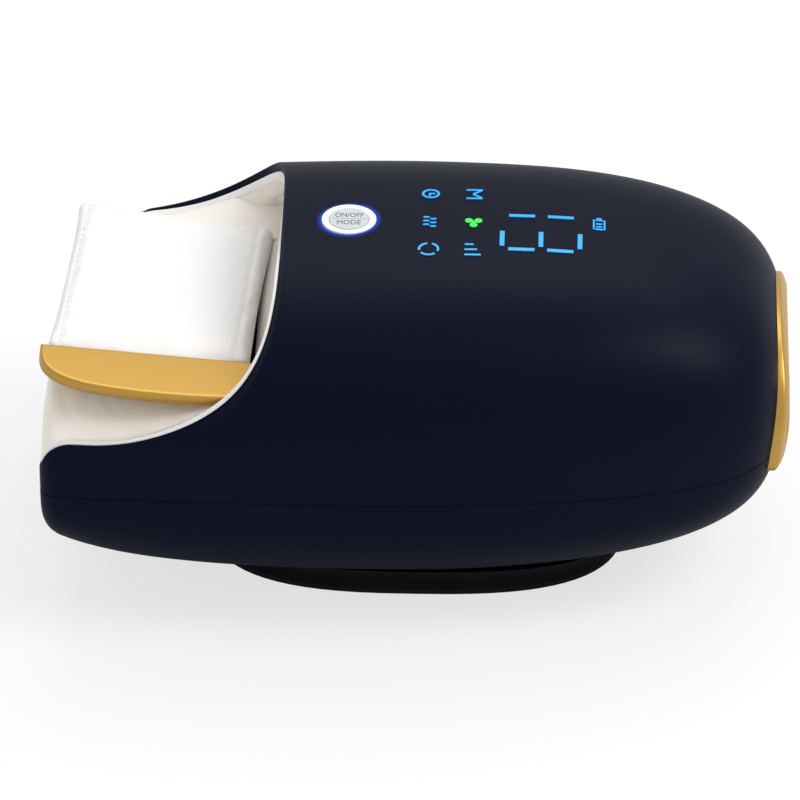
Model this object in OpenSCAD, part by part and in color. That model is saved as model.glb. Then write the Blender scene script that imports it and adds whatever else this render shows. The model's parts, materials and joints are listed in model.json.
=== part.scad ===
// Hand massager with heating and cooling: a pill-shaped body on a low oval foot.
// +X runs to the rear, the hand goes in at the -X end, +Z is up.
// The origin is on the floor, under the centre of the foot. All sizes are in millimetres.

/* [Outer shell] */
// Height of the foot under the belly
foot_height = 7.7; // [6:0.1:14]
// Depth of the belly below the parting line
belly_depth = 46.3; // [42:0.1:56]
// Rise of the crown above the parting line
crown_rise = 60.9; // [58:0.1:74]
// Half of the greatest width of the shell
half_width = 74; // [70:0.1:89]
// Distance from the origin to the rear end of the shell
rear_reach = 116.4; // [112:0.1:140]
// Distance from the origin to the front end of the shell
front_reach = 117.2; // [114:0.1:120]
// Wall of the two housings
wall = 2.4; // [2:0.1:2.9]
// Radius of the front corners, seen from above
corner_r = 6; // [4.5:0.5:10]
// Slant of the front end and of the palm pad's edges, seen from above, in degrees
front_skew = 3.3; // [0:0.1:4]
// Lean of the rear end, forward at the parting line
rear_lean = 0.072; // [0:0.001:0.09]

/* [Scoop opening] */
// Place of the rim where it crosses the crown
rim_x = -42.8; // [-46:0.1:-41]
// Place where the rim turns into the level side lip
lip_x = -102.5; // [-104:0.5:-98]
// Height of the side lip above the parting line
lip_rise = 19; // [16:0.1:22]
// Height of the front lip above the parting line
front_lip = 8.5; // [6:0.5:9]
// Radius where the side lip turns down to the front lip
lip_corner_r = 10.5; // [7:0.5:11]
// Width of the white rim bezel, measured back from the rim
bezel_band = 9.5; // [8:0.5:10]
// Thickness of the bezel and of the tunnel shell
liner_wall = 1.6; // [1.2:0.1:1.8]
// Height by which the bezel stands out of the rim
bezel_proud = 0.6; // [0.2:0.1:1]

/* [Palm rest] */
// Half width of the palm pad at its front end
pad_half_front = 44.1; // [41:0.1:46]
// Half width of the palm pad at its rear end
pad_half_rear = 40.3; // [38:0.1:42]
// Place of the front end of the palm pad
pad_front_x = -113; // [-114:0.1:-111]
// Place of the seam at the rear end of the palm pad
pad_rear_x = -50.4; // [-52:0.1:-49]
// Height of the palm pad above the parting line at its middle
pad_rise = 34.9; // [32:0.1:37]
// Fall of the palm pad towards the rear, in degrees
pad_angle = 7.1; // [4:0.1:8]
// Offset of the palm pad, away from the thumb rest
pad_y = 1.1; // [0:0.1:2]
// Thickness of the palm pad
pad_thick = 6; // [5:0.1:7]
// Reach of the thumb rest beyond the palm pad
thumb_reach = 20.2; // [17:0.1:24]
// Thickness of the thumb rest
thumb_thick = 3.6; // [2.5:0.1:4]
// Height of the finger cushion above the parting line
cushion_rise = 18; // [14:0.5:20]

/* [Button and display] */
// Place of the centre of the button along X
button_x = -22; // [-24:0.1:-20]
// Outer diameter of the white button ring
ring_d = 17.4; // [15:0.1:18]
// Diameter of the split button inside the ring
button_d = 12.6; // [11.5:0.1:13]
// Travel of each half button
button_travel = 0.5; // [0.3:0.1:0.6]
// Gap between a button and what is round it
button_gap = 0.2; // [0.15:0.01:0.3]
// Thickness of the lit icon windows
icon_thick = 0.25; // [0.2:0.01:0.4]
// Width of the strokes of the small icons
icon_stroke = 0.75; // [0.5:0.05:0.9]
// Length of a stroke of the large figures
figure_stroke = 8.3; // [7:0.1:9]

/* [Rear vent] */
// Half width of the gold trim at the rear
trim_half = 41; // [36:0.5:43]
// Height of the gold trim above the parting line
trim_rise = 32.5; // [28:0.5:34]
// Width of the gold trim, seen from the rear
trim_band = 6; // [4:0.5:8]
// Height by which the gold trim stands out of the shell
trim_proud = 3; // [1.5:0.1:4]
// Height of a slot of the rear grille
slot_h = 2.2; // [1.6:0.1:2.6]
// Distance from slot to slot of the rear grille
slot_pitch = 4.6; // [4:0.1:6]
// Side of the square cooling fan
fan_side = 40; // [36:1:41]
// Depth of the cooling fan
fan_depth = 10; // [8:1:12]
// Number of fan blades
fan_blades = 7; // [5:1:9]

/* [Inside] */
// Thickness of the inner chassis plate
chassis_t = 2.2; // [1.8:0.1:3]
// Radius of the screw posts
post_r = 4; // [3.5:0.1:4.5]
// Radius of the shaft of the pump and of the fan
shaft_r = 1.5; // [1.2:0.1:1.8]
// Running clearance of a shaft in its bush, on the radius
run_gap = 0.05; // [0.03:0.01:0.09]
// Clearance between pieces that seat in one another
seat_gap = 0.3; // [0.2:0.05:0.4]
// Radius of the pump motor
motor_r = 12; // [10:0.5:12.5]
// Length of the pump motor
motor_l = 30; // [25:1:32]
// Diameter of a battery cell
cell_d = 18.4; // [17:0.1:18.6]
// Length of a battery cell
cell_l = 65; // [60:1:66]
// Travel of a valve plunger
valve_travel = 1.2; // [0.8:0.1:1.5]

/* [Hidden] */
$fn = 48;

navy = [0.05, 0.07, 0.13];
gold = [0.80, 0.60, 0.22];
white = [0.95, 0.94, 0.92];
cream = [0.88, 0.85, 0.79];
far = 300;

// Heights that the other pieces take their places from.
parting_z = belly_depth + foot_height;
chassis_z = parting_z - 1;
deck_z = chassis_z + chassis_t;
chassis_front = wall + 1.4 - front_reach;

// Curves of the shell. Each is a level middle that falls to a blunt end as a superellipse does.
crown_x = 16.7;
crown_p = 2.81;
crown_q = 3.49;
crown_sink = 0.00039;
side_x = -17.2;
side_p = 1.83;
side_q = 5.48;
side_sink = 0.00029;
keel_x = 6;
keel_p = 1.56;
keel_q = 3.57;
keel_run = 5.8;
keel_front_p = 3.39;
keel_front_q = 3.65;
keel_corner_r = 3;
upper_n = 2.73;
lower_n = 2.61;
lean_x = 55.5;
lean_rise = 26.5;
ring_points = 40;

function fall(u, p, q) = pow(max(0, 1 - pow(min(max(u, 0), 1), p)), 1 / q);
function corner(x, end, radius) =
  let (r = max(radius, 0.1)) r * (1 - sqrt(max(0, 1 - pow(min(max(0, (end + r - x) / r), 1), 2))));
// Rise of the crown, half width and depth of the belly at x, for a surface that lies d inside
// the shell and ends at the rear at e.
function crown(x, d, e) =
  x > crown_x ? (crown_rise - d) * fall((x - crown_x) / (e - crown_x), crown_p, crown_q)
              : crown_rise - d - crown_sink * pow(crown_x - x, 2);
function side(x, d, e) =
  (x > side_x ? (half_width - d) * fall((x - side_x) / (e - side_x), side_p, side_q)
              : half_width - d - side_sink * pow(side_x - x, 2))
  - corner(x, d - front_reach, corner_r - d);
function belly(x, d, e) =
  (x > keel_x ? (belly_depth - d) * fall((x - keel_x) / (e - keel_x), keel_p, keel_q)
              : (belly_depth - d) * fall((keel_x - x) / (keel_x + front_reach + keel_run),
                                         keel_front_p, keel_front_q))
  - corner(x, d - front_reach, keel_corner_r - d);
function lean(x, z) = rear_lean * pow(max(0, (x - lean_x) / (rear_reach - lean_x)), 2) * (z - lean_rise);
// Height of the outer shell over (x, y), for a surface that lies d inside it.
function top_z(x, y, d = 0) =
  let (b = side(x, d, rear_reach - d))
    parting_z + crown(x, d, rear_reach - d) * fall(abs(y) / b, upper_n, upper_n);
// Height of the belly's surface at (x, y), for a surface that lies d inside it.
function belly_z(x, y, d = 0) =
  let (b = side(x, d, rear_reach - d))
    parting_z - belly(x, d, rear_reach - d) * fall(abs(y) / b, lower_n, lower_n);

// One closed section of the body at x, as points at equal angles.
// dt, db and e are the surface's depth under the crown, its depth inside the side, and its rear end.
function section(x, dt, db, e) =
  [for (i = [0 : ring_points - 1])
    let (a = 360 * i / ring_points, c = cos(a), s = sin(a), n = s >= 0 ? upper_n : lower_n,
         b = side(x, db, e), v = s >= 0 ? crown(x, dt, e) : belly(x, db, e),
         r = pow(pow(abs(c) / b, n) + pow(abs(s) / v, n), -1 / n), z = r * s)
      [x + lean(x, z), -r * c, parting_z + z]];
// Stations along the body between a front end f and a rear end e, closer where it is rounder.
front_steps = 5;
rear_steps = 9;
step_x = 10;
rear_start = 50;
function stations(f, e) =
  let (c = max(0, corner_r - f - front_reach), n = round((rear_start - f - c) / step_x))
    concat(c > 0 ? [for (i = [0 : front_steps - 1]) f + c - c * cos(90 * i / front_steps)] : [],
           [for (i = [0 : n - 1]) f + c + (rear_start - f - c) * i / n],
           [for (i = [0 : rear_steps - 1]) e - (e - rear_start) * pow(1 - i / rear_steps, 3)]);

// A closed solid through a row of rings of equal point count.
module loft(rings) {
  n = len(rings[0]);
  m = len(rings);
  mid = function (r) [for (k = [0 : 2]) [for (p = r) 1] * [for (p = r) p[k]] / n];
  polyhedron(
    points = concat([for (r = rings) each r], [mid(rings[0]), mid(rings[m - 1])]),
    faces = concat(
      [for (i = [0 : m - 2], j = [0 : n - 1])
        let (k = (j + 1) % n, a = i * n, b = a + n) each [[a + j, a + k, b + k], [a + j, b + k, b + j]]],
      [for (j = [0 : n - 1]) [m * n, (j + 1) % n, j]],
      [for (j = [0 : n - 1]) [m * n + 1, (m - 1) * n + j, (m - 1) * n + (j + 1) % n]]));
}
// Turns its children to the slant of the front end, about the near front corner.
front_y = half_width - corner_r;
module slanted() {
  translate([-front_reach, -front_y, 0]) rotate([0, 0, -front_skew]) translate([front_reach, front_y, 0]) children();
}
function front_x(y) = -front_reach + (y + front_y) * tan(front_skew);
// Everything behind the slanted front end, d inside it.
module behind_front(d) {
  slanted() translate([d - front_reach, -far, -far]) cube([2 * far, 2 * far, 2 * far]);
}
// The body as a closed solid, d inside the shell everywhere.
module egg(d) {
  intersection() {
    loft([for (x = stations(d - front_reach, rear_reach - d)) section(x, d, d, rear_reach - d)]);
    behind_front(d);
  }
}
// Joins faceted solids as one mesh, so that a cut through a smooth shell stays clean.
module meshed() {
  resize([0, 0, 0]) children();
}
module above(z) {
  translate([-far, -far, z]) cube([2 * far, 2 * far, far]);
}
module below(z) {
  translate([-far, -far, z - far]) cube([2 * far, 2 * far, far]);
}
module ahead(x) {
  translate([x - far, -far, -far]) cube([far, 2 * far, 2 * far]);
}
// A flat outline drawn in Y and Z, drawn out along +X from x for a length.
module along_x(x, length) {
  translate([x, 0, 0]) rotate([90, 0, 90]) linear_extrude(length) children();
}
// A flat outline drawn in X and Z, drawn out across the body, centred on y.
module across(y, width) {
  translate([0, y, 0]) rotate([90, 0, 0]) linear_extrude(width, center = true) children();
}

// The scoop: everything above this side view of the rim is open. g shrinks the opening.
rim_centre_rise = 5.2;
rim_steps = 16;
module scoop(g) {
  arc_x = -front_reach + 0.2 + lip_corner_r;
  lip_z = parting_z + lip_rise;
  rim_z = parting_z + crown_rise + rim_centre_rise;
  across(0, far) polygon(concat(
    [[-front_reach - far, lip_z + g]],
    [for (i = [0 : rim_steps])
      let (a = 90 * i / rim_steps)
        [lip_x + (rim_x - lip_x - g) * sin(a), rim_z - (rim_z - lip_z - g) * cos(a)]],
    [[rim_x - g, parting_z + far], [-front_reach - far, parting_z + far]]));
  slanted() across(0, far) polygon(concat(
    [[-front_reach - far, parting_z + front_lip + g]],
    [for (i = [0 : 5])
      let (a = 90 * i / 5) [arc_x - lip_corner_r * cos(a), lip_z - lip_corner_r * (1 - sin(a)) + g]],
    [[arc_x, parting_z + far], [-front_reach - far, parting_z + far]]));
}

// Arch of the rear vent in Y and Z, k inside the outline of the gold trim.
arch_n = 2.5;
arch_steps = 24;
arch_foot = -6;
module arch(k) {
  polygon([for (i = [0 : arch_steps])
    let (a = 180 * i / arch_steps, c = cos(a))
      [(trim_half - k) * sign(c) * pow(abs(c), 2 / arch_n),
       parting_z + arch_foot + k + (trim_rise - arch_foot - 2 * k) * pow(sin(a), 2 / arch_n)]]);
}

// ---------- Housings ----------
hood_posts = [for (x = [-72, -2, 52], s = [-1, 1]) [x, s * (side(x, 0, rear_reach) - wall - 2.6)]];
hood_post_r = 3.6;
hood_post_l = 7.5;
screw_r = 1.25;
screw_clear = 0.25;
base_posts = [for (x = [-42, 42], y = [-27, 27]) [x, y]];
base_post_top = foot_height + 13.4;
port_z = parting_z - 14;
port_w = 9.2;
port_h = 3.4;

module upper_housing() {
  color(navy) difference() {
    meshed() union() {
      difference() {
        egg(0);
        egg(wall);
        below(parting_z);
        scoop(0);
        along_x(60, far) arch(trim_band);
      }
      intersection() {
        for (p = hood_posts) translate([p.x, p.y, deck_z + seat_gap]) cylinder(hood_post_l, r = hood_post_r, $fn = 20);
        egg(wall / 2);
      }
    }
    translate([button_x, 0, parting_z]) cylinder(far, d = ring_d + 2 * button_gap);
    for (p = hood_posts) translate([p.x, p.y, deck_z]) cylinder(hood_post_l - 1, r = screw_r - 0.1);
  }
}
module lower_housing() {
  color(navy) difference() {
    meshed() union() {
      difference() {
        egg(0);
        egg(wall);
        above(parting_z);
        translate([rear_reach - 20, 0, port_z]) port_shape(0.3, 40);
      }
      intersection() {
        for (p = base_posts) translate([p.x, p.y, 0]) cylinder(base_post_top, r = post_r, $fn = 20);
        egg(wall / 2);
      }
    }
    for (p = base_posts) translate([p.x, p.y, 0]) cylinder(far, r = screw_r + screw_clear);
  }
}
// The charging port's outline, grown by g and drawn out along +X.
module port_shape(g, length) {
  w = port_w + 2 * g;
  h = port_h + 2 * g;
  rotate([90, 0, 90]) linear_extrude(length) {
    square([w - h, h], center = true);
    for (s = [-1, 1]) translate([s * (w - h) / 2, 0]) circle(d = h);
  }
}

// ---------- Foot ----------
sole_t = 2;
foot_half_x = 67.6;
foot_half_y = 44.1;
foot_n = 2.74;
foot_flare = 7;
function oval(a, b, n, count) =
  [for (i = [0 : count - 1])
    let (t = -360 * i / count, c = cos(t), s = sin(t))
      [a * sign(c) * pow(abs(c), 2 / n), b * sign(s) * pow(abs(s), 2 / n)]];
module foot_sole() {
  color("#17181b") linear_extrude(sole_t) polygon(oval(foot_half_x - 0.6, foot_half_y - 0.6, foot_n, 72));
}
module foot_base() {
  head_z = sole_t + 3;
  color([0.03, 0.04, 0.08]) difference() {
    meshed() difference() {
      loft([for (i = [0 : 5])
        let (f = pow(i / 5, 2), z = sole_t + (foot_height + 6 - sole_t) * i / 5)
          [for (p = oval(foot_half_x + foot_flare * f, foot_half_y + foot_flare * f, foot_n, 48)) [p.x, p.y, z]]]);
      egg(-0.1);
    }
    for (p = base_posts) translate([p.x, p.y, 0]) {
      cylinder(far, r = screw_r + screw_clear);
      cylinder(head_z, r = 2 * screw_r + screw_clear);
    }
  }
}

// ---------- Rim, tunnel and lining ----------
tunnel_end = 80;
tunnel_front = -50;
drop_front = 4.6;
drop_full = 11.9;
// Depth of a tunnel surface under the crown: shallow at the rim, deep under the display.
function drop(x, d) =
  let (u = min(max((x - (rim_x - 2)) / 14, 0), 1)) d + (drop_full - drop_front) * u * u * (3 - 2 * u);
// A surface of the tunnel, dt and db inside the shell at the rim, open nowhere.
module tunnel_egg(dt, db, front = tunnel_front) {
  xs = stations(front - 2, tunnel_end - dt);
  loft([for (x = xs) section(x, drop(x, dt), db, tunnel_end - dt)]);
}
// A skin of the tunnel, t thick, that starts at the front and stands on the chassis from base.
module tunnel_skin(dt, db, t, front, base) {
  meshed() difference() {
    tunnel_egg(dt, db, front);
    tunnel_egg(dt + t, db + t, front - 1);
    below(base);
    ahead(front);
    for (p = hood_posts) translate([p.x, p.y, parting_z]) cylinder(hood_post_l + 4, r = hood_post_r + seat_gap, $fn = 20);
    children();
  }
}
module rim_bezel() {
  color(white) meshed() difference() {
    egg(wall + 0.1);
    egg(wall + 0.1 + liner_wall);
    scoop(bezel_proud);
    below(deck_z + seat_gap + 2);
    difference() {
      above(0);
      scoop(-bezel_band);
    }
  }
}
module tunnel_shell() {
  color(white) tunnel_skin(drop_front, drop_front, liner_wall, tunnel_front, deck_z + seat_gap) scoop(-6);
}
lining_t = 1.3;
lining_in = drop_front + liner_wall + seat_gap;
bag_t = 1.6;
lining_front = -100;
module hood_lining() {
  color(cream) tunnel_skin(lining_in + bag_t + seat_gap, lining_in, lining_t, lining_front, parting_z + 3) {
    scoop(-2.5);
    palm_tilt() translate([-far, -far, -thumb_thick - 1.4]) cube([far + thumb_rear_x - pad_mid_x + 1, far - 40, thumb_thick + 1.6]);
  }
}
module upper_airbag() {
  color([0.75, 0.78, 0.80]) meshed() intersection() {
    difference() {
      tunnel_egg(lining_in, lining_in);
      tunnel_egg(lining_in + bag_t, lining_in);
    }
    translate([-14, -40, parting_z]) cube([70, 80, far]);
  }
}

// ---------- Rear vent ----------
module rear_trim() {
  color(gold) meshed() intersection() {
    difference() {
      egg(-trim_proud);
      egg(-0.05);
    }
    along_x(60, far) difference() {
      arch(0);
      arch(trim_band);
    }
  }
}
module rear_grille() {
  slots = floor((trim_rise - 2 * trim_band - 6) / slot_pitch);
  color([0.10, 0.10, 0.11]) meshed() intersection() {
    difference() {
      egg(0.4);
      egg(wall);
      along_x(60, far) intersection() {
        arch(trim_band + seat_gap + 2);
        for (i = [0 : slots])
          translate([-trim_half, parting_z + trim_band + 4 + i * slot_pitch]) square([2 * trim_half, slot_h]);
      }
    }
    along_x(60, far) arch(trim_band + seat_gap);
  }
}
fan_z = parting_z + arch_foot + trim_rise / 2;
fan_x = rear_reach - 23;
fan_bore_r = fan_side / 2 - 1.5;
fan_hub_r = 9;
fan_screw_at = fan_side / 2 - 4;
module fan_corners() {
  for (y = [-1, 1], z = [-1, 1]) translate([0, y * fan_screw_at, fan_z + z * fan_screw_at]) children();
}
module turned_x(r, x, length) {
  translate([x, 0, 0]) rotate([0, 90, 0]) cylinder(length, r = r);
}
module vent_duct() {
  color("#202226") difference() {
    meshed() intersection() {
      translate([fan_x + fan_depth, -fan_side / 2, fan_z - fan_side / 2]) cube([far, fan_side, fan_side]);
      egg(wall + seat_gap);
    }
    translate([fan_x, 0, fan_z]) turned_x(fan_bore_r, 0, far);
    fan_corners() turned_x(screw_r - 0.1, fan_x, fan_depth + 6);
  }
}
module fan_housing() {
  strut = 2.5;
  color("#222428") difference() {
    translate([fan_x, -fan_side / 2, fan_z - fan_side / 2]) cube([fan_depth, fan_side, fan_side]);
    translate([0, 0, fan_z]) difference() {
      turned_x(fan_bore_r, fan_x - 1, fan_depth + 2);
      turned_x(fan_hub_r, fan_x, 2);
      for (a = [30, 150, 270]) rotate([a, 0, 0]) translate([fan_x, -strut / 2, 0]) cube([2, strut, fan_side / 2]);
    }
    translate([0, 0, fan_z]) turned_x(shaft_r + run_gap, fan_x - 1, 4);
    fan_corners() turned_x(screw_r + screw_clear, fan_x - 1, fan_depth + 2);
  }
}
module fan_rotor() {
  hub_x = fan_x + 2.6;
  hub_l = fan_depth - 3.2;
  color("#2b2d33") translate([0, 0, fan_z]) {
    turned_x(fan_hub_r, hub_x, hub_l);
    turned_x(shaft_r, fan_x, hub_x - fan_x + 1);
    intersection() {
      for (i = [0 : fan_blades - 1]) rotate([360 * i / fan_blades, 0, 0])
        translate([hub_x + hub_l / 2, 0, (fan_hub_r + fan_bore_r) / 2 - 1])
          rotate([0, 0, 38]) cube([1, 9, fan_bore_r - fan_hub_r + 2], center = true);
      translate([hub_x, 0, 0]) turned_x(fan_bore_r - 0.8, 0, hub_l);
    }
  }
}
module fan_screws() {
  color("silver") fan_corners() {
    turned_x(screw_r - 0.15, fan_x - 0.1, fan_depth + 5);
    turned_x(2 * screw_r, fan_x - 1.6, 1.6);
  }
}

// ---------- Button and display ----------
button_z = top_z(button_x, 0);
board_t = 1.2;
board_z = parting_z + crown_rise - 9.7;
key_h = 2.2;
key_side = 5;
key_y = 3.3;
ring_inner_r = button_d / 2 + button_gap;
flange_r = ring_d / 2 - 1;
flange_z = button_z - wall - 1.6;
module button_ring() {
  ring_z = button_z - wall - 0.9;
  color("white") translate([button_x, 0, 0]) difference() {
    union() {
      translate([0, 0, ring_z]) cylinder(button_z + 0.3 - ring_z, d = ring_d);
      translate([0, 0, board_z + board_t]) cylinder(ring_z - board_z - board_t, d = ring_d + 3);
    }
    cylinder(far, r = ring_inner_r);
    cylinder(flange_z + 1 + 0.1, r = flange_r + button_gap);
  }
}
// One half of the split disc: s is 1 for the far half and -1 for the near half.
module half_button(s) {
  stem_z = board_z + board_t + key_h + 0.7;
  color("white") translate([button_x, 0, 0]) {
    intersection() {
      union() {
        translate([0, 0, flange_z]) cylinder(button_z + 0.5 - flange_z, d = button_d);
        translate([0, 0, flange_z]) cylinder(1, r = flange_r);
      }
      translate([-far, s > 0 ? button_gap / 2 : -far - button_gap / 2, 0]) cube([2 * far, far, far]);
    }
    translate([0, s * key_y, stem_z]) cylinder(flange_z - stem_z + 0.5, r = 1.6);
  }
}
module power_button() {
  half_button(1);
}
module mode_button() {
  half_button(-1);
}
module key_plunger(s) {
  color("#333333") translate([button_x, s * key_y, board_z + board_t + 1.2]) cylinder(key_h - 0.5, r = 1.2);
}
module power_key_plunger() {
  key_plunger(1);
}
module mode_key_plunger() {
  key_plunger(-1);
}
module key_switches() {
  color("#404246") for (s = [-1, 1]) translate([button_x, s * key_y, board_z + board_t]) difference() {
    translate([-key_side / 2, -key_side / 2, 0]) cube([key_side, key_side, key_h]);
    translate([0, 0, 0.5]) cylinder(key_h, r = 1.2 + run_gap);
  }
}
board_front = button_x - 10;
board_rear = 59;
board_half = 21;
module display_board() {
  color("#1e5a35") translate([board_front, -board_half, board_z])
    cube([board_rear - board_front, 2 * board_half, board_t]);
}
guide_front = -3;
module light_guide() {
  guide_t = 2.8;
  color("#e8e8e0") translate([guide_front, -board_half, board_z + board_t]) difference() {
    cube([board_rear - 1 - guide_front, 2 * board_half, guide_t]);
    for (x = [4, 18], y = [3, 20, 32]) translate([x, y, 1]) cube([6, 6, guide_t]);
  }
}
module display_carrier() {
  rim = 2;
  foot = 2.2;
  carrier_z = board_z - 1.2;
  color("#2a2c30") difference() {
    translate([board_front - rim, -board_half - rim, carrier_z])
      cube([board_rear - board_front + 2 * rim, 2 * (board_half + rim), board_t + 3.4]);
    translate([board_front - 0.2, -board_half - 0.2, board_z - 0.01])
      cube([board_rear - board_front + 0.4, 2 * board_half + 0.4, far]);
    translate([board_front + foot, -board_half + foot, 0])
      cube([board_rear - board_front - 2 * foot, 2 * (board_half - foot), far]);
  }
}

// Lit icons, each on the crown where it shows.
column_x = [3.7, 17.7];
row_y = [15.8, -1.6, -17.3];
icon_seat = 0.06;
module on_crown(x, y) {
  slope_x = top_z(x + 0.5, y) - top_z(x - 0.5, y);
  slope_y = top_z(x, y + 0.5) - top_z(x, y - 0.5);
  translate([x, y, top_z(x, y) + icon_seat]) rotate([atan(slope_y), -atan(slope_x), 0]) children();
}
module bar(x, y, lx, ly) {
  on_crown(x, y) translate([-lx / 2, -ly / 2, 0]) cube([lx, ly, icon_thick]);
}
module slant(x, y, length, angle) {
  on_crown(x, y) rotate([0, 0, angle]) translate([-length / 2, -icon_stroke / 2, 0])
    cube([length, icon_stroke, icon_thick]);
}
module arc(x, y, r, from, sweep) {
  on_crown(x, y) rotate([0, 0, from]) rotate_extrude(angle = sweep, $fn = 48)
    translate([r - icon_stroke, 0]) square([icon_stroke, icon_thick]);
}
module clock_icon(x, y) {
  arc(x, y, 2.9, 0, 360);
  bar(x + 0.4, y + 0.1, 2, icon_stroke);
  bar(x - 0.3, y - 0.8, icon_stroke, 1.4);
}
module letter_icon(x, y) {
  for (s = [-1, 1]) {
    bar(x, y + s * 2.8, 5.2, icon_stroke + 0.1);
    slant(x + 0.9, y + s * 1.25, 3.5, s * 42);
  }
}
module wave_icon(x, y) {
  for (i = [-1 : 1], s = [0, 1]) arc(x - 1.1 + 2.2 * s, y + 2.2 * i - 0.45 + 0.9 * s, 1.45, s ? 220 : 40, 100);
}
module cycle_icon(x, y) {
  for (i = [0 : 2]) arc(x, y, 3.4, 100 + 120 * i, 90);
}
module level_icon(x, y) {
  for (i = [0 : 2]) bar(x - 1.2 + 0.6 * i, y + 2.75 - 2.75 * i, 2.8 + 1.2 * i, icon_stroke);
}
module battery_icon(x, y) {
  for (s = [-1, 1]) bar(x + s * 1.7, y - 0.4, icon_stroke * 0.8, 5.6);
  bar(x, y - 3.1, 2.4, icon_stroke);
  bar(x, y + 2.3, 2.4, icon_stroke);
  bar(x, y + 3.2, 1.6, icon_stroke);
  for (i = [0, 1]) bar(x, y - 1.6 + 1.7 * i, 1.9, icon_stroke);
}
figure_x = [26.9, 39.2, 51.6];
figure_y = [2.7, -16.7];
figure_width = 1.5;
module icon_windows() {
  color([0.15, 0.65, 0.95]) {
    clock_icon(column_x[0], row_y[0]);
    letter_icon(column_x[1], row_y[0]);
    wave_icon(column_x[0], row_y[1]);
    cycle_icon(column_x[0], row_y[2]);
    level_icon(column_x[1], row_y[2]);
    battery_icon(57.6, 0.4);
    for (i = [0, 1], y = figure_y) bar((figure_x[i] + figure_x[i + 1]) / 2, y, figure_stroke, figure_width);
    for (x = figure_x) bar(x, -10.9, figure_width, figure_stroke);
  }
}
module fan_icon_window() {
  x = column_x[1];
  y = row_y[1];
  color([0.25, 0.85, 0.25]) on_crown(x, y) {
    cylinder(icon_thick, r = 0.7);
    for (a = [20, 140, 260]) rotate([0, 0, a]) translate([1.7, 0.3, 0]) cylinder(icon_thick, r = 1.25);
  }
}

// ---------- Palm rest ----------
pad_mid_x = (pad_front_x + pad_rear_x) / 2;
pad_z = parting_z + pad_rise;
film_t = 0.25;
film_l = 48;
film_z = -pad_thick - film_t - 0.05;
frame_top = film_z - 0.1;
frame_plate = 2;
plate_size = 46;
// Shift of the plate, module and heat sink towards the rear of the palm rest.
plate_shift = 2;
module palm_tilt() {
  translate([pad_mid_x, 0, pad_z]) rotate([0, pad_angle, 0]) children();
}
// Height of the pad's upper plane at x.
function pad_plane(x) = pad_z - (x - pad_mid_x) * tan(pad_angle);
function pad_half(x) = pad_half_front + (pad_half_rear - pad_half_front) * (x - pad_front_x) / (pad_rear_x - pad_front_x);

// A stuffed cushion: a grid of m by n cells between x0 and x1, with a crowned top, rolled edges
// and sides that draw in. half, over and under give its half width, top and base at x, skew its
// slant in X across Y, and roll the radius of its upper edges.
module cushion(x0, x1, half, over, under, skew, m, n, crown_h, groove_x, roll) {
  edge = function (inside) sqrt(1 - pow(1 - min(max(inside / roll, 0), 1), 2));
  spread = function (i, k) let (u = 2 * i / k - 1) sign(u) * (1 - pow(1 - abs(u), 1.6));
  draw = 1.2;
  low = function (i, j)
    let (u = spread(i, m), s = (x0 + x1) / 2 + u * ((x1 - x0) / 2 - draw), y = spread(j, n) * (half(s) - draw),
         x = s + skew(s) * y)
      [x, y, under(x)];
  high = function (i, j)
    let (u = spread(i, m), v = spread(j, n), s = (x0 + x1) / 2 + u * (x1 - x0) / 2, y = v * half(s),
         x = s + skew(s) * y, c = (1 - u * u) * (1 - v * v),
         e = edge((1 - abs(u)) * (x1 - x0) / 2) * edge((1 - abs(v)) * half(s)))
      [x, y, under(x) + 2 + (over(x) - under(x) - 2 - crown_h) * e + crown_h * c * e
             - 0.8 * exp(-pow((s - groove_x) / 1.3, 2)) * e];
  w = n + 1;
  q = (m + 1) * w;
  rim = concat([for (j = [0 : n - 1]) j], [for (i = [0 : m - 1]) i * w + n],
               [for (j = [n : -1 : 1]) m * w + j], [for (i = [m : -1 : 1]) i * w]);
  polyhedron(
    points = concat([for (i = [0 : m], j = [0 : n]) high(i, j)], [for (i = [0 : m], j = [0 : n]) low(i, j)]),
    faces = concat(
      [for (i = [0 : m - 1], j = [0 : n - 1])
        let (a = i * w + j) each [[a, a + 1, a + w + 1], [a, a + w + 1, a + w]]],
      [for (i = [0 : m - 1], j = [0 : n - 1])
        let (a = q + i * w + j) each [[a, a + w + 1, a + 1], [a, a + w, a + w + 1]]],
      [for (i = [0 : len(rim) - 1])
        let (a = rim[i], b = rim[(i + 1) % len(rim)]) each [[a, q + b, b], [a, q + a, q + b]]]));
}
module palm_pad() {
  color(white) translate([0, pad_y, 0]) cushion(pad_front_x, pad_rear_x, function (x) pad_half(x),
    function (x) pad_plane(x), function (x) pad_plane(x) - pad_thick, function (x) tan(front_skew),
    26, 20, 0.6, pad_front_x + 4.5, 2.8);
}
skirt_t = 1.5;
cushion_front = pad_rear_x + seat_gap;
cushion_rear = 60;
bag_low_t = 4;
module finger_cushion() {
  roll = pad_plane(pad_rear_x) - parting_z - 1.5;
  over = function (x) let (u = min(1, (x - cushion_front) / 26)) parting_z + roll + (cushion_rise - roll) * u * u * (3 - 2 * u);
  inset = lining_in + bag_t + seat_gap + lining_t + 1;
  half = function (x) let (w = side(x, inset + 0.6, tunnel_end - inset), u = min(1, (x - cushion_front) / 26))
    min(w, pad_half_rear + (w - pad_half_rear) * u);
  color(cream) cushion(cushion_front, cushion_rear, half, over,
    function (x) deck_z + 2 * seat_gap + bag_low_t,
    function (x) tan(front_skew) * max(0, 1 - (x - cushion_front) / 30), 20, 12, 1, far, 9);
}
module lower_airbag() {
  color([0.75, 0.78, 0.80]) translate([-44, -34, deck_z + seat_gap]) cube([100, 68, bag_low_t]);
}
skirt_rear_x = pad_rear_x - 4;
skirt_in = wall + liner_wall + 0.7;
frame_half = pad_half_rear - 3.4;
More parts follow.
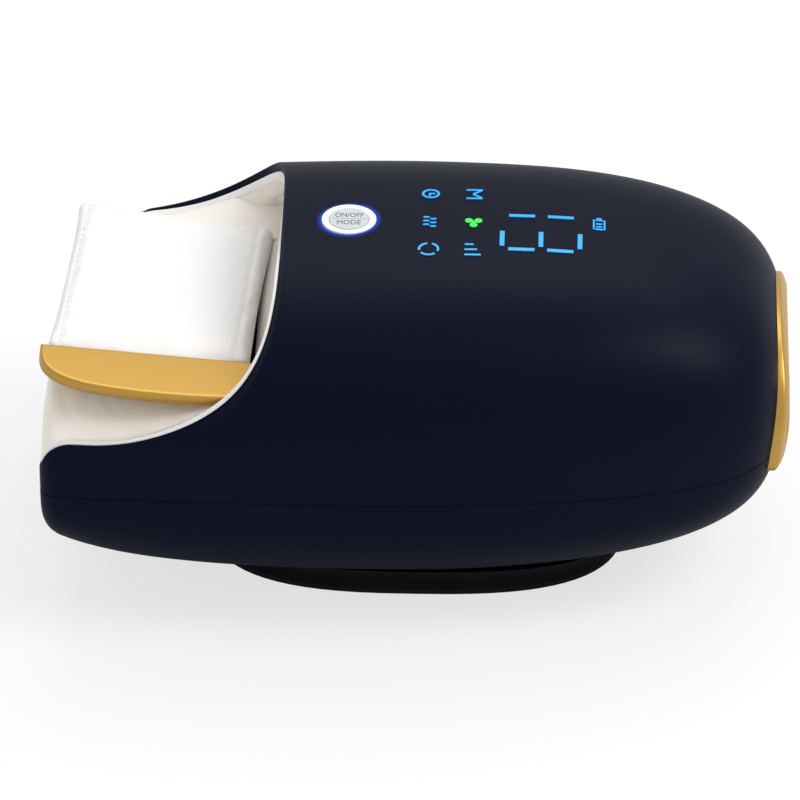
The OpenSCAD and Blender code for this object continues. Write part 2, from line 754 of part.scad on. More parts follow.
frame_x0 = front_x(frame_half) + skirt_in + skirt_t + 0.6;
frame_x1 = skirt_rear_x - skirt_t - 2.8;
function frame_plane(x) = pad_plane(x) + frame_top / cos(pad_angle);
module palm_frame() {
  leg = 1.5;
  color("#d8d8d6") difference() {
    across(0, 2 * frame_half) difference() {
      polygon([[frame_x0, deck_z], [frame_x0, frame_plane(frame_x0)],
               [frame_x1, frame_plane(frame_x1)], [frame_x1, deck_z]]);
      polygon([[frame_x0 + leg, deck_z - 1], [frame_x0 + leg, frame_plane(frame_x0) - frame_plate],
               [frame_x1 - leg, frame_plane(frame_x1) - frame_plate], [frame_x1 - leg, deck_z - 1]]);
    }
    palm_tilt() translate([plate_shift, 0, frame_top])
      cube([plate_size + 2 * seat_gap, plate_size + 2 * seat_gap, 12], center = true);
  }
}
module heating_film() {
  color([0.55, 0.35, 0.15]) palm_tilt() translate([-film_l / 2, 1 - frame_half, film_z]) cube([film_l, 2 * (frame_half - 1), film_t]);
}
plate_t = 1.8;
module_t = 3.4;
sink_base = 3;
module slab(side, top, t) {
  palm_tilt() translate([plate_shift - side / 2, -side / 2, top - t]) cube([side, side, t]);
}
module cold_plate() {
  color("silver") slab(plate_size, frame_top, plate_t);
}
module thermoelectric_module() {
  color("white") slab(38, frame_top - plate_t, module_t);
}
module heat_sink() {
  top = frame_top - plate_t - module_t;
  fin_l = 9;
  sink_side = 39.6;
  color("silver") {
    slab(sink_side, top, sink_base);
    palm_tilt() for (i = [-5 : 5]) translate([plate_shift - sink_side / 2, 3.6 * i - 0.6, top - sink_base - fin_l])
      cube([sink_side, 1.2, fin_l + 0.5]);
  }
}
// Fabric panels from the chassis up to the palm pad, as a thin-walled ring.
skirt_knee = 13;
skirt_foot_half = half_width - 12;
module skirt_solid(g) {
  n = 12;
  mouth = g > 0 ? 60 : 0;
  ring = function (half_f, half_r, in, z_at) [for (p = oval(1, 1, n, 40))
    let (y = p.y * (half_f + (half_r - half_f) * (p.x + 1) / 2 - g),
         f = front_x(y) + in + g, r = skirt_rear_x - g, x = (f + r) / 2 + p.x * (r - f) / 2)
      [x, y, z_at(x)]];
  loft([ring(skirt_foot_half - 3, skirt_foot_half, skirt_in, function (x) deck_z + seat_gap - mouth),
        ring(skirt_foot_half - 3, skirt_foot_half, skirt_in, function (x) parting_z + front_lip + bezel_proud + seat_gap),
        ring(skirt_foot_half - 3, skirt_foot_half, 0.2, function (x) parting_z + skirt_knee + 1 - g / 2),
        ring(pad_half_front + 1, pad_half_rear + 1, 1, function (x) pad_plane(x) - pad_thick - 3 - g / 2),
        ring(pad_half_front - 2, pad_half_rear - 2, 2.4, function (x) pad_plane(x) - pad_thick - seat_gap + g)]);
}
// The room that the rim of the shell and the bezel take up.
module shell_zone() {
  difference() {
    egg(-1);
    egg(wall + liner_wall + 0.1 + seat_gap);
    scoop(bezel_proud + seat_gap);
  }
}
module palm_skirt() {
  color(cream) meshed() difference() {
    skirt_solid(0);
    skirt_solid(skirt_t);
    shell_zone();
    palm_tilt() translate([-bracket_l / 2 - seat_gap, -far, bracket_top - bracket_t - seat_gap])
      cube([bracket_l + 2 * seat_gap, far, bracket_t + 4]);
  }
}
// Thumb rest: a blunt front end, a gentle outer edge, and a straight edge along the palm pad.
thumb_top = -0.6;
thumb_front_x = pad_front_x - 5.3;
thumb_rear_x = pad_rear_x + 2;
thumb_deep_x = -86;
bracket_t = 1.5;
bracket_l = 44;
bracket_reach = 13;
bracket_leg = 8;
thumb_post_in = 8;
thumb_post_r = 3.4;
pad_near = pad_half_front - pad_y;
bracket_top = -pad_thick - 0.4;
thumb_posts = [-94, -68];
function thumb_edge(x) =
  x < thumb_deep_x ? thumb_reach * fall((thumb_deep_x - x) / (thumb_deep_x - thumb_front_x), 2.9, 2.9)
                   : thumb_reach - 0.0035 * pow(x - thumb_deep_x, 2);
module thumb_rest() {
  low = thumb_top - thumb_thick;
  inner = function (x) pad_y - pad_half(x) - seat_gap;
  xs = concat([for (i = [0 : 12]) thumb_deep_x - (thumb_deep_x - thumb_front_x) * cos(90 * i / 12)],
              [for (i = [1 : 9]) thumb_deep_x + (thumb_rear_x - thumb_deep_x) * i / 9]);
  outline = concat([for (x = xs) [x - pad_mid_x, -pad_near - seat_gap - thumb_edge(x)]],
                   [[thumb_rear_x - pad_mid_x, inner(thumb_rear_x)]]);
  color(gold) palm_tilt() difference() {
    union() {
      translate([0, 0, low]) linear_extrude(thumb_thick) polygon(outline);
      for (x = thumb_posts) translate([x - pad_mid_x, -pad_near - thumb_post_in, bracket_top]) cylinder(low - bracket_top + 0.5, r = thumb_post_r);
    }
    for (x = thumb_posts) translate([x - pad_mid_x, -pad_near - thumb_post_in, bracket_top - 1]) cylinder(3.6, r = screw_r - 0.1);
  }
}
module thumb_bracket() {
  leg_y = -frame_half - bracket_t - 0.1;
  color("silver") palm_tilt() difference() {
    union() {
      translate([-bracket_l / 2, -pad_near - bracket_reach, bracket_top - bracket_t])
        cube([bracket_l, bracket_reach + pad_near + leg_y + bracket_t, bracket_t]);
      translate([-bracket_l / 2, leg_y, bracket_top - bracket_leg]) cube([bracket_l, bracket_t, bracket_leg]);
    }
    for (x = thumb_posts) translate([x - pad_mid_x, -pad_near - thumb_post_in, bracket_top - 5]) cylinder(9, r = screw_r + screw_clear);
  }
}
module thumb_screws() {
  color("silver") palm_tilt() for (x = thumb_posts) translate([x - pad_mid_x, -pad_near - thumb_post_in, bracket_top - bracket_t]) {
    cylinder(bracket_t + 2.2, r = screw_r - 0.15);
    translate([0, 0, -1.4]) cylinder(1.4, r = 2 * screw_r);
  }
}

// ---------- Chassis and what hangs under it ----------
chassis_rear = fan_x - 6;
module chassis() {
  inset = wall + 0.8;
  n = 20;
  xs = [for (i = [0 : n]) chassis_front + (chassis_rear - chassis_front) * i / n];
  w = function (x) side(x, inset, rear_reach - inset);
  color("#3a3d42") difference() {
    union() {
      intersection() {
        translate([0, 0, chassis_z]) linear_extrude(chassis_t)
          polygon(concat([for (x = xs) [x, -w(x)]], [for (i = [n : -1 : 0]) [xs[i], w(xs[i])]]));
        behind_front(wall + 1.4);
      }
      for (p = base_posts) translate([p.x, p.y, base_post_top + seat_gap])
        cylinder(chassis_z - base_post_top, r = post_r);
    }
    for (p = base_posts) translate([p.x, p.y, base_post_top]) cylinder(12, r = screw_r - 0.1);
    for (p = hood_posts) translate([p.x, p.y, 0]) cylinder(far, r = screw_r + screw_clear);
    translate([manifold_x, 0, 0]) cylinder(far, r = 3);
  }
}
module chassis_screws() {
  color("silver") for (p = hood_posts) translate([p.x, p.y, chassis_z]) {
    cylinder(chassis_t + 6, r = screw_r - 0.15);
    translate([0, 0, -1.6]) cylinder(1.6, r = 2 * screw_r - 0.3);
  }
}
module base_screws() {
  color("silver") for (p = base_posts) translate([p.x, p.y, sole_t + 3]) {
    translate([0, 0, -1]) cylinder(base_post_top - sole_t + 7, r = screw_r - 0.15);
    translate([0, 0, -2]) cylinder(2, r = 2 * screw_r);
  }
}
pump_x = -98;
pump_floor = belly_z(pump_x + 3, motor_r + 1, wall) + seat_gap;
pump_z = pump_floor + 1.5 + motor_r;
head_l = 16;
crank_off = 1.2;
module pump_cradle() {
  rest = pump_x + 3;
  color("#55585c") difference() {
    translate([rest, -motor_r - 1, pump_floor]) cube([motor_l - 6, 2 * motor_r + 2, motor_r + 1]);
    translate([0, 0, pump_z]) turned_x(motor_r + 0.1, pump_x - 1, motor_l + 2);
  }
}
module pump_motor() {
  color("#b8bcc2") difference() {
    translate([0, 0, pump_z]) turned_x(motor_r, pump_x, motor_l);
    translate([0, 0, pump_z]) turned_x(shaft_r + run_gap, pump_x + 8, motor_l);
  }
}
module pump_head() {
  x = pump_x + motor_l;
  cavity = 7.5;
  color("#e2e2de") translate([0, 0, pump_z]) {
    difference() {
      translate([x + 0.1, -motor_r + 1, -motor_r + 1]) cube([head_l, 2 * motor_r - 2, 2 * motor_r - 2]);
      turned_x(cavity, x - 1, head_l - 4);
    }
    translate([manifold_x, 0, motor_r - 1.5]) difference() {
      cylinder(0.5 + nozzle_l, r = nozzle_r);
      translate([0, 0, 0.2]) cylinder(far, r = nozzle_r / 2);
    }
  }
}
module pump_rotor() {
  x = pump_x + 10;
  color("silver") translate([0, 0, pump_z]) {
    turned_x(shaft_r, x, motor_l - 10 + 6);
    translate([0, crank_off, 0]) turned_x(5, pump_x + motor_l + 2.5, 4);
  }
}
manifold_x = pump_x + motor_l + head_l - 4;
manifold_t = 5;
manifold_z = chassis_z - manifold_t - 0.05;
nozzle_r = 1.9;
nozzle_gap = manifold_z - pump_z - motor_r + 1;
nozzle_l = 0.4 * nozzle_gap;
valve_y = 28;
valve_side = 12;
valve_l = 18;
plunger_r = 2.5;
module air_manifold() {
  color("#4a4d52") difference() {
    union() {
      translate([manifold_x - 7, -valve_y - 7, manifold_z]) cube([14, 2 * valve_y + 14, manifold_t]);
      translate([manifold_x, 0, manifold_z - nozzle_l]) cylinder(nozzle_l + 1, r = nozzle_r);
    }
    translate([manifold_x, 0, manifold_z - nozzle_l - 1]) cylinder(far, r = nozzle_r / 2);
  }
}
module air_tube() {
  color([0.8, 0.82, 0.85]) translate([manifold_x, 0, manifold_z - nozzle_gap + 0.1]) difference() {
    cylinder(nozzle_gap - 0.2, r = nozzle_r + 1.3);
    translate([0, 0, -1]) cylinder(far, r = nozzle_r + run_gap);
  }
}
module valve_bodies() {
  color("#6a6d72") for (s = [-1, 1]) translate([manifold_x, s * valve_y, manifold_z - valve_l - 0.05]) difference() {
    translate([-valve_side / 2, -valve_side / 2, 0]) cube([valve_side, valve_side, valve_l]);
    translate([0, 0, 2]) cylinder(far, r = plunger_r + run_gap);
  }
}
plunger_l = 7;
plunger_z = manifold_z - valve_l - 0.05 + 2.1;
module valve_plunger(s) {
  color("silver") translate([manifold_x, s * valve_y, plunger_z]) cylinder(plunger_l, r = plunger_r);
}
// A valve's return spring, as a plain sleeve between its plunger and the manifold.
module valve_spring(s) {
  z = plunger_z + plunger_l + 0.05;
  color("#9a9da2") translate([manifold_x, s * valve_y, z]) difference() {
    cylinder(manifold_z - 0.05 - z, r = plunger_r - 0.2);
    translate([0, 0, -1]) cylinder(far, r = plunger_r - 0.8);
  }
}
module inflate_plunger() {
  valve_plunger(-1);
}
module release_plunger() {
  valve_plunger(1);
}
module inflate_spring() {
  valve_spring(-1);
}
module release_spring() {
  valve_spring(1);
}

// ---------- Battery, main board and charging socket ----------
cell_gap = 0.6;
cradle_half = 1.5 * cell_d + cell_gap - 3;
cradle_z = max(belly_z(cell_l / 2 - 2, cradle_half, wall), belly_z(2 - cell_l / 2, cradle_half, wall)) + seat_gap;
cell_z = cradle_z + 3 + cell_d / 2;
module cells(r, length) {
  for (i = [-1 : 1]) translate([-length / 2, i * (cell_d + cell_gap), cell_z]) rotate([0, 90, 0]) cylinder(length, r = r);
}
module battery_cells() {
  color("#2a6fb0") cells(cell_d / 2, cell_l);
}
module battery_cradle() {
  color("#33363a") difference() {
    translate([-cell_l / 2 + 2, -cradle_half, cradle_z]) cube([cell_l - 4, 2 * cradle_half, 9]);
    cells(cell_d / 2 + 0.1, cell_l + 4);
  }
}
main_x = 46;
main_l = 46;
main_half = 30;
main_z = foot_height + 20;
spacer_r = 2.4;
spacer_at = [for (x = [main_x + 4, main_x + main_l - 4], y = [-20, 20]) [x, y]];
module main_board() {
  color("#1e5a35") difference() {
    translate([main_x, -main_half, main_z]) cube([main_l, 2 * main_half, 1.6]);
    for (p = spacer_at) translate([p.x, p.y, main_z - 1]) cylinder(4, r = screw_r);
  }
}
module board_spacers() {
  color("#c9a35a") for (p = spacer_at) {
    z = belly_z(p.x + spacer_r, abs(p.y) + spacer_r, wall) + 2 * seat_gap;
    translate([p.x, p.y, z]) cylinder(main_z - z, r = spacer_r);
    translate([p.x, p.y, main_z - 1]) cylinder(3.4, r = screw_r - 0.1);
  }
}
module board_parts() {
  top = main_z + 1.6;
  color("#1c1d20") {
    translate([main_x + 14, -6, top]) cube([12, 12, 1.6]);
    translate([main_x + 30, 6, top]) cube([8, 10, 1.4]);
    for (y = [-25, 13]) translate([main_x + 7, y, top]) cube([8, 11, 6]);
    translate([main_x + 36, -12, top]) cylinder(9, r = 4);
    translate([main_x + 24, -18, top]) cylinder(6, r = 4.5);
  }
}
socket_end = rear_reach - 2.6;
module charging_socket() {
  color("silver") difference() {
    translate([socket_end - 8, 0, port_z]) port_shape(0, 8);
    translate([socket_end - 6, 0, port_z]) port_shape(-0.4, 8);
  }
  color("#1e5a35") translate([socket_end - 14, -7, port_z - port_h / 2 - 1.1]) cube([8, 14, 1.2]);
}

upper_housing();
lower_housing();
foot_base();
foot_sole();
rim_bezel();
hood_lining();
rear_trim();
rear_grille();
icon_windows();
fan_icon_window();
button_ring();
power_button();
mode_button();
power_key_plunger();
mode_key_plunger();
key_switches();
display_board();
light_guide();
display_carrier();
palm_pad();
palm_frame();
palm_skirt();
thumb_rest();
thumb_bracket();
thumb_screws();
heating_film();
cold_plate();
thermoelectric_module();
heat_sink();
finger_cushion();
lower_airbag();
upper_airbag();
tunnel_shell();
chassis();
pump_motor();
pump_head();
pump_rotor();
pump_cradle();
air_manifold();
air_tube();
valve_bodies();
inflate_plunger();
release_plunger();
inflate_spring();
release_spring();
fan_housing();
fan_rotor();
fan_screws();
vent_duct();
main_board();
board_parts();
board_spacers();
battery_cells();
battery_cradle();
charging_socket();
chassis_screws();
base_screws();
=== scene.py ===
import json
import math
import bpy
import numpy as np
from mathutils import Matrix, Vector, geometry


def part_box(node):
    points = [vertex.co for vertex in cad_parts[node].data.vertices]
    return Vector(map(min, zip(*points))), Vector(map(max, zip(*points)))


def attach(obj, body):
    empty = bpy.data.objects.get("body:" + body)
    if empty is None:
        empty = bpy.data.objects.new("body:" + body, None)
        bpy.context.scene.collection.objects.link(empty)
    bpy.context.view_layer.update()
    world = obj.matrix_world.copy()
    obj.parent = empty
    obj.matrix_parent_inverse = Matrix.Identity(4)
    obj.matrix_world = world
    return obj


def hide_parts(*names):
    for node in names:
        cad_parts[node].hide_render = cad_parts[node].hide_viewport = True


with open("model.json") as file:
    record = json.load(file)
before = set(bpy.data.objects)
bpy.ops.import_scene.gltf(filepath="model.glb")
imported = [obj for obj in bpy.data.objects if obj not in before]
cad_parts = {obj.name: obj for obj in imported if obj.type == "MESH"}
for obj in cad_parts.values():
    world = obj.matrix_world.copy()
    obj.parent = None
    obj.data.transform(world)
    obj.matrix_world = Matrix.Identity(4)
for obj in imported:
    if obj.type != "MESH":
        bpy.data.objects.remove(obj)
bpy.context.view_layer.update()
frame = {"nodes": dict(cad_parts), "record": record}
scene = bpy.context.scene

# ---------- Shell form, in millimetres, as the part's source has it ----------
FRONT, REAR = -118.0, 116.4  # the two ends
HALF = 74.0  # half width
PART = 54.0  # height of the parting line
CROWN, CROWN_AT = 60.9, 16.7  # rise of the crown, and where it is highest
SIDE_AT = -17.2  # where the shell is widest
BELLY, BELLY_AT = 46.3, 6.0  # drop of the belly, and where it is lowest
SIDE_POWERS = (1.83, 5.48)
TOP_POWER, LOW_POWER = 2.73, 2.61  # roundness of the sections above and below the parting line
EDGE_R, KEEL_R = 6.0, 3.0  # rounding of the front face's edge
SKEW = math.tan(math.radians(3.3))  # slant of the front end
SKEW_Y = 68.0
SKEW_X, SKEW_RUN = -88.0, 14.5  # the slant sets in ahead of this x, over this run
DOME, DOME_POWER = 2.6, 1.3  # bulge of the rear end
DOME_Z, DOME_HALF_Y, DOME_HALF_Z = 66, 66, 55
LIP_Z, LIP_X, LIP_R = 73.0, -102.5, 10.5  # low end of the scoop's long arc, and the round below it
ARC_X = FRONT + 0.2 + LIP_R
RIM_X, RIM_Z = -42.8, 120.1  # where the long arc would end upright, above the crown
FRONT_LIP = 62.5  # height of the rim across the front face
TAIL_X, TAIL_POWER = 60, 3.5  # behind this the stations get closer
U_EDGE = EDGE_R * math.pi / 2
U_MID = U_EDGE + TAIL_X - (FRONT + EDGE_R)
U_TAIL = 100.0
SPAN = 68.0  # millimetres for one radian round the shell
BUTTON_AT = (-22.0, 0.0, 114.3)
BUTTON_HOLE_R = 8.9


def ease(t):
    t = np.clip(t, 0, 1)
    return t * t * (3 - 2 * t)


def fall(u, p, q):
    return (1 - np.clip(u, 0, 1) ** p) ** (1 / q)


def corner(x, r):
    t = np.clip((FRONT + r - x) / r, 0, 1)
    return r * (1 - np.sqrt(1 - t * t))


def crown(x):
    return np.where(x > CROWN_AT, CROWN * fall((x - CROWN_AT) / (REAR - CROWN_AT), 2.81, 3.49),
                    CROWN - 0.00039 * (CROWN_AT - x) ** 2)


def side(x):
    return np.where(x > SIDE_AT, HALF * fall((x - SIDE_AT) / (REAR - SIDE_AT), *SIDE_POWERS),
                    HALF - 0.00029 * (x - SIDE_AT) ** 2) - corner(x, EDGE_R)


def belly(x):
    return np.where(x > BELLY_AT, BELLY * fall((x - BELLY_AT) / (REAR - BELLY_AT), 1.56, 3.57),
                    BELLY * fall((BELLY_AT - x) / (BELLY_AT - FRONT + 5.8), 3.39, 3.65)) - corner(x, KEEL_R)


def radius(x, a):
    c, s = np.abs(np.cos(a)), np.abs(np.sin(a))
    b = np.maximum(side(x), 1e-6)
    v = np.maximum(np.where(a >= 0, crown(x), belly(x)), 1e-6)
    n = np.where(a >= 0, TOP_POWER, LOW_POWER)
    return ((c / b) ** n + (s / v) ** n) ** (-1 / n)


def other_leg(share, full):
    """An upper section's second coordinate, where the first is that share of its greatest value."""
    return full * (1 - np.clip(share, 0, 1) ** TOP_POWER) ** (1 / TOP_POWER)


def station(u):
    """x at a place u along the shell: u is 0 at the front edge, and negative on the front face."""
    t = np.clip((u - U_MID) / U_TAIL, 0, 1)
    front = FRONT + EDGE_R * (1 - np.cos(np.clip(u, 0, U_EDGE) / EDGE_R))
    tail = REAR - (REAR - TAIL_X) * (1 - t) ** TAIL_POWER
    return np.where(u < U_EDGE, front, np.where(u < U_MID, FRONT + EDGE_R + u - U_EDGE, tail))


def unstation(x):
    x = np.asarray(x, float)
    front = EDGE_R * np.arccos(np.clip(1 - (x - FRONT) / EDGE_R, -1, 1))
    tail = U_MID + U_TAIL * (1 - (np.clip(REAR - x, 0, 99) / (REAR - TAIL_X)) ** (1 / TAIL_POWER))
    return np.where(x < FRONT + EDGE_R, front, np.where(x < TAIL_X, U_EDGE + x - FRONT - EDGE_R, tail))


def lean(x, z):
    """How far the rear end leans back with height."""
    return 0.072 * np.maximum(0, (x - 55.5) / 60.9) ** 2 * (z - 26.5)


def shell(u, a):
    """The shell's near half before slant(): u runs from the front face to the rear, a is the angle."""
    u, a = np.broadcast_arrays(np.asarray(u, float), np.asarray(a, float))
    x = station(u)
    r = radius(x, a)
    y = -r * np.cos(a) - np.minimum(u, 0)
    z = r * np.sin(a)
    return np.stack([x + lean(x, z), y, PART + z], -1)


def tangents(u, a):
    e = 1e-3
    u = np.asarray(u, float)
    a = np.asarray(a, float)
    du = (shell(u + e, a) - shell(u - e, a)) / (2 * e)
    da = (shell(u, a + e) - shell(u, a - e)) / (2 * e)
    return du, da


def unit(v):
    return v / np.maximum(np.linalg.norm(v, axis=-1, keepdims=True), 1e-9)


def outward(u, a):
    du, da = tangents(u, a)
    n = np.cross(du, da)
    flat = np.linalg.norm(n, axis=-1) < 1e-5
    n = unit(n)
    n[flat] = (1, 0, 0)
    return n


def slant(p, n=None):
    """Slants the front end and domes the rear end a little, and turns the normals with them."""
    p = np.array(p, float)
    q = 1 - (p[..., 1] / DOME_HALF_Y) ** 2 - ((p[..., 2] - DOME_Z) / DOME_HALF_Z) ** 2
    at_rear = ease((p[..., 0] - 80) / 25)
    if n is not None:
        rate = 2 * DOME * at_rear * DOME_POWER * np.clip(q, 0, 1) ** (DOME_POWER - 1) * n[..., 0]
        n = unit(np.stack([n[..., 0], n[..., 1] + rate * p[..., 1] / DOME_HALF_Y ** 2,
                           n[..., 2] + rate * (p[..., 2] - DOME_Z) / DOME_HALF_Z ** 2], -1))
    p[..., 0] += DOME * at_rear * np.clip(q, 0, 1) ** DOME_POWER
    t = np.clip((SKEW_X - p[..., 0]) / SKEW_RUN, 0, 1)
    m = t * t * (3 - 2 * t)
    reach = SKEW * (p[..., 1] + SKEW_Y)
    out = p.copy()
    out[..., 0] += reach * m
    if n is None:
        return out
    stretch = 1 - reach * 6 * t * (1 - t) / SKEW_RUN
    turned = np.stack([n[..., 0] / stretch, n[..., 1] - n[..., 0] * SKEW * m / stretch, n[..., 2]], -1)
    return out, unit(turned)


def mirrored(p):
    q = np.array(p, float)
    q[..., 1] *= -1
    return q


def run(points):
    """The length along a line of points, at each of them."""
    return np.concatenate([[0], np.cumsum(np.linalg.norm(np.diff(points, axis=0), axis=1))])


# ---------- The rim, from the middle of the front face up to the crown ----------
def face_half(a):
    return radius(np.asarray(FRONT), a) * np.cos(a)


def angle_at(x, z):
    return np.arctan2(z - PART, other_leg((z - PART) / crown(x), side(x)))


def resample(line, step):
    s = run(shell(line[:, 0], line[:, 1]))
    keep = np.concatenate([[True], np.diff(s) > 1e-9])
    s, line = s[keep], line[keep]
    t = np.linspace(0, s[-1], int(s[-1] / step) + 1)
    return np.stack([np.interp(t, s, line[:, 0]), np.interp(t, s, line[:, 1])], -1)


def long_arc(phi):
    """The scoop's long arc, seen from the side: an ellipse from the lip, 0, up to the crown."""
    return LIP_X + (RIM_X - LIP_X) * np.sin(phi), RIM_Z - (RIM_Z - LIP_Z) * np.cos(phi)


def rim_line(step=1.1):
    lip_a = float(angle_at(np.array(FRONT), FRONT_LIP))
    face = [(u, lip_a) for u in np.linspace(-float(face_half(np.array(lip_a))), 0, 60)]
    psi = np.radians(np.linspace(0, 90, 60))
    low, high = 0.5, math.pi / 2
    for _ in range(60):
        mid = (low + high) / 2
        x, z = long_arc(mid)
        low, high = (mid, high) if z - PART < float(crown(np.array(x))) else (low, mid)
    arc_x, arc_z = long_arc(low * (1 - (1 - np.linspace(0, 1, 700)) ** 2))
    x = np.concatenate([ARC_X - LIP_R * np.cos(psi), arc_x])
    a = angle_at(x, np.concatenate([FRONT_LIP + LIP_R * np.sin(psi), arc_z]))
    a[-1] = math.pi / 2
    line = resample(np.array(face + list(zip(unstation(x), a))), step)
    for _ in range(10):
        mid = (line[:-2] + line[2:]) / 2
        at_corner = (np.abs(line[1:-1, 0] - 1) < 5)[:, None]
        line[1:-1] = np.where(at_corner, line[1:-1] * 0.5 + mid * 0.5, line[1:-1])
    return resample(line, step)


def rim_directions():
    """At each rim point, the direction away from the opening, and the step in u and a for 1 mm that way."""
    along = unit(np.gradient(shell(RIM[:, 0], RIM[:, 1]), axis=0))
    away = unit(np.cross(outward(RIM[:, 0], RIM[:, 1]), along))
    if away[0, 2] > 0:
        away = -away
    du, da = tangents(RIM[:, 0], RIM[:, 1])
    g = np.stack([np.stack([(du * du).sum(1), (du * da).sum(1)], -1),
                  np.stack([(du * da).sum(1), (da * da).sum(1)], -1)], 1)
    step = np.linalg.solve(g, np.stack([(du * away).sum(1), (da * away).sum(1)], -1)[..., None])[..., 0]
    step[-1, 1] = 0
    step[0, 0] = 0
    return away, step


RIM = rim_line()
RIM_AWAY, RIM_STEP = rim_directions()
RIM_S = run(shell(RIM[:, 0], RIM[:, 1]))
RIM_X_AT = station(RIM[:, 0])

# A bevel runs along the rim: narrow at the front, widest along the near side, narrower at the crown.
ENDS = ease(np.linspace(0, len(RIM) / 40, len(RIM))) * ease(np.linspace(len(RIM) / 25, 0, len(RIM)))
SWELL = ease((RIM_X_AT + 100) / 35) * (1 - 0.45 * ease((RIM_X_AT + 60) / 14))


def per_side(near, far, middle):
    """Values along the rim on the near and the far side, that meet in the middle plane."""
    return tuple(middle + (v - middle) * ENDS for v in (near, far))


BEVEL_W = per_side(0.8 + 2.6 * SWELL, 0.6, 0.8)
BEVEL_D = per_side(0.6 + 2.6 * SWELL, 0.5, 0.7)
RIM_T = per_side(1.0 + 1.9 * SWELL, 1.3 + 1.7 * ease((RIM_X_AT + 98) / 30), 1.5)
PROUD = per_side(0.7 + 0.8 * SWELL, 0.1, 0.5)


def from_rim(rho):
    return RIM + RIM_STEP * np.reshape(rho, (-1, 1))


def rim_row(rho, depth):
    """Points along the near rim, rho behind its edge and depth under the surface, before the slant."""
    q = from_rim(rho)
    return shell(q[:, 0], q[:, 1]) - outward(q[:, 0], q[:, 1]) * np.reshape(depth, (-1, 1))


def both(row, far=None):
    """A row along the near rim from the crown to the front's middle, carried on along the far rim."""
    return np.concatenate([row[::-1], mirrored(row if far is None else far)[1:]])


def band(rho, depth):
    """The same, where rho and depth are functions of the side: 0 for the near one, 1 for the far one."""
    return both(*(rim_row(rho(i), depth(i)) for i in (0, 1)))


# ---------- Making meshes ----------
def build(name, verts, faces, normals=None):
    """A smooth mesh from points in millimetres."""
    me = bpy.data.meshes.new(name)
    points = [tuple(v) for v in np.asarray(verts, float) / 1000]
    me.from_pydata(points, [], [tuple(int(i) for i in f) for f in faces])
    me.update()
    ob = bpy.data.objects.new(name, me)
    scene.collection.objects.link(ob)
    me.polygons.foreach_set("use_smooth", [True] * len(me.polygons))
    if normals is not None:
        me.normals_split_custom_set_from_vertices([tuple(n) for n in normals])
    return ob


def grid_faces(rows, cols, wrap_cols=False, start=0, flip=False):
    out = []
    for i in range(rows - 1):
        for j in range(cols if wrap_cols else cols - 1):
            here, above = start + i * cols, start + (i + 1) * cols
            after = (j + 1) % cols
            f = [here + j, above + j, above + after, here + after]
            out.append(f[::-1] if flip else f)
    return out


def finish(ob, mat, body="device", replaces=()):
    ob.data.materials.append(mat)
    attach(ob, body)
    if replaces:
        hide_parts(*replaces)
    return ob


def evaluated_mesh(ob):
    graph = bpy.context.evaluated_depsgraph_get()
    return bpy.data.meshes.new_from_object(ob.evaluated_get(graph))


def with_modifiers(ob):
    me = evaluated_mesh(ob)
    ob.modifiers.clear()
    ob.data = me
    return ob


def join(obs, name):
    bpy.ops.object.select_all(action="DESELECT")
    for o in obs:
        o.select_set(True)
    bpy.context.view_layer.objects.active = obs[0]
    bpy.ops.object.join()
    obs[0].name = name
    return obs[0]


def inside(points, loop):
    x, y = points[:, 0][:, None], points[:, 1][:, None]
    x0, y0 = loop[:, 0][None], loop[:, 1][None]
    x1, y1 = np.roll(loop[:, 0], -1)[None], np.roll(loop[:, 1], -1)[None]
    cross = (y0 > y) != (y1 > y)
    at = x0 + (y - y0) * (x1 - x0) / np.where(np.abs(y1 - y0) < 1e-12, 1e-12, y1 - y0)
    return (cross & (x < at)).sum(1) % 2 == 1


def distance(points, line):
    out = np.full(len(points), 1e9)
    for a, b in zip(line[:-1], line[1:]):
        d = b - a
        t = np.clip(((points - a) @ d) / max(d @ d, 1e-12), 0, 1)
        out = np.minimum(out, np.linalg.norm(points - a - t[:, None] * d, axis=1))
    return out


# ---------- Materials ----------
def lin(*rgb):
    """A colour of 0 to 255 as linear shares, with an alpha of 1."""
    shares = [c / 255 for c in rgb]
    return tuple(c / 12.92 if c <= 0.04045 else ((c + 0.055) / 1.055) ** 2.4 for c in shares) + (1.0,)


def relief_height(t, coords, kind, grain):
    """The output of the nodes that make a finish's fine relief, with a grain in millimetres."""
    scale = 1000 / grain
    if kind == "noise":
        relief = t.nodes.new("ShaderNodeTexNoise")
        relief.inputs["Scale"].default_value = scale
        relief.inputs["Detail"].default_value = 3
        t.links.new(coords.outputs["Object"], relief.inputs["Vector"])
        return relief.outputs["Fac"]
    if kind == "leather":
        relief = t.nodes.new("ShaderNodeTexVoronoi")
        relief.inputs["Scale"].default_value = scale
        t.links.new(coords.outputs["Object"], relief.inputs["Vector"])
        return relief.outputs["Distance"]
    product = t.nodes.new("ShaderNodeMath")
    product.operation = "MULTIPLY"
    for i, direction in enumerate(("X", "Z") if kind == "knit" else ("Y", "Y")):
        wave = t.nodes.new("ShaderNodeTexWave")
        wave.bands_direction = direction
        wave.inputs["Scale"].default_value = scale / (2 * math.pi)
        wave.inputs["Distortion"].default_value = 1.5 if kind == "knit" else 0.6
        wave.inputs["Detail"].default_value = 2
        t.links.new(coords.outputs["Object"], wave.inputs["Vector"])
        t.links.new(wave.outputs["Fac"], product.inputs[i])
    return product.outputs[0]


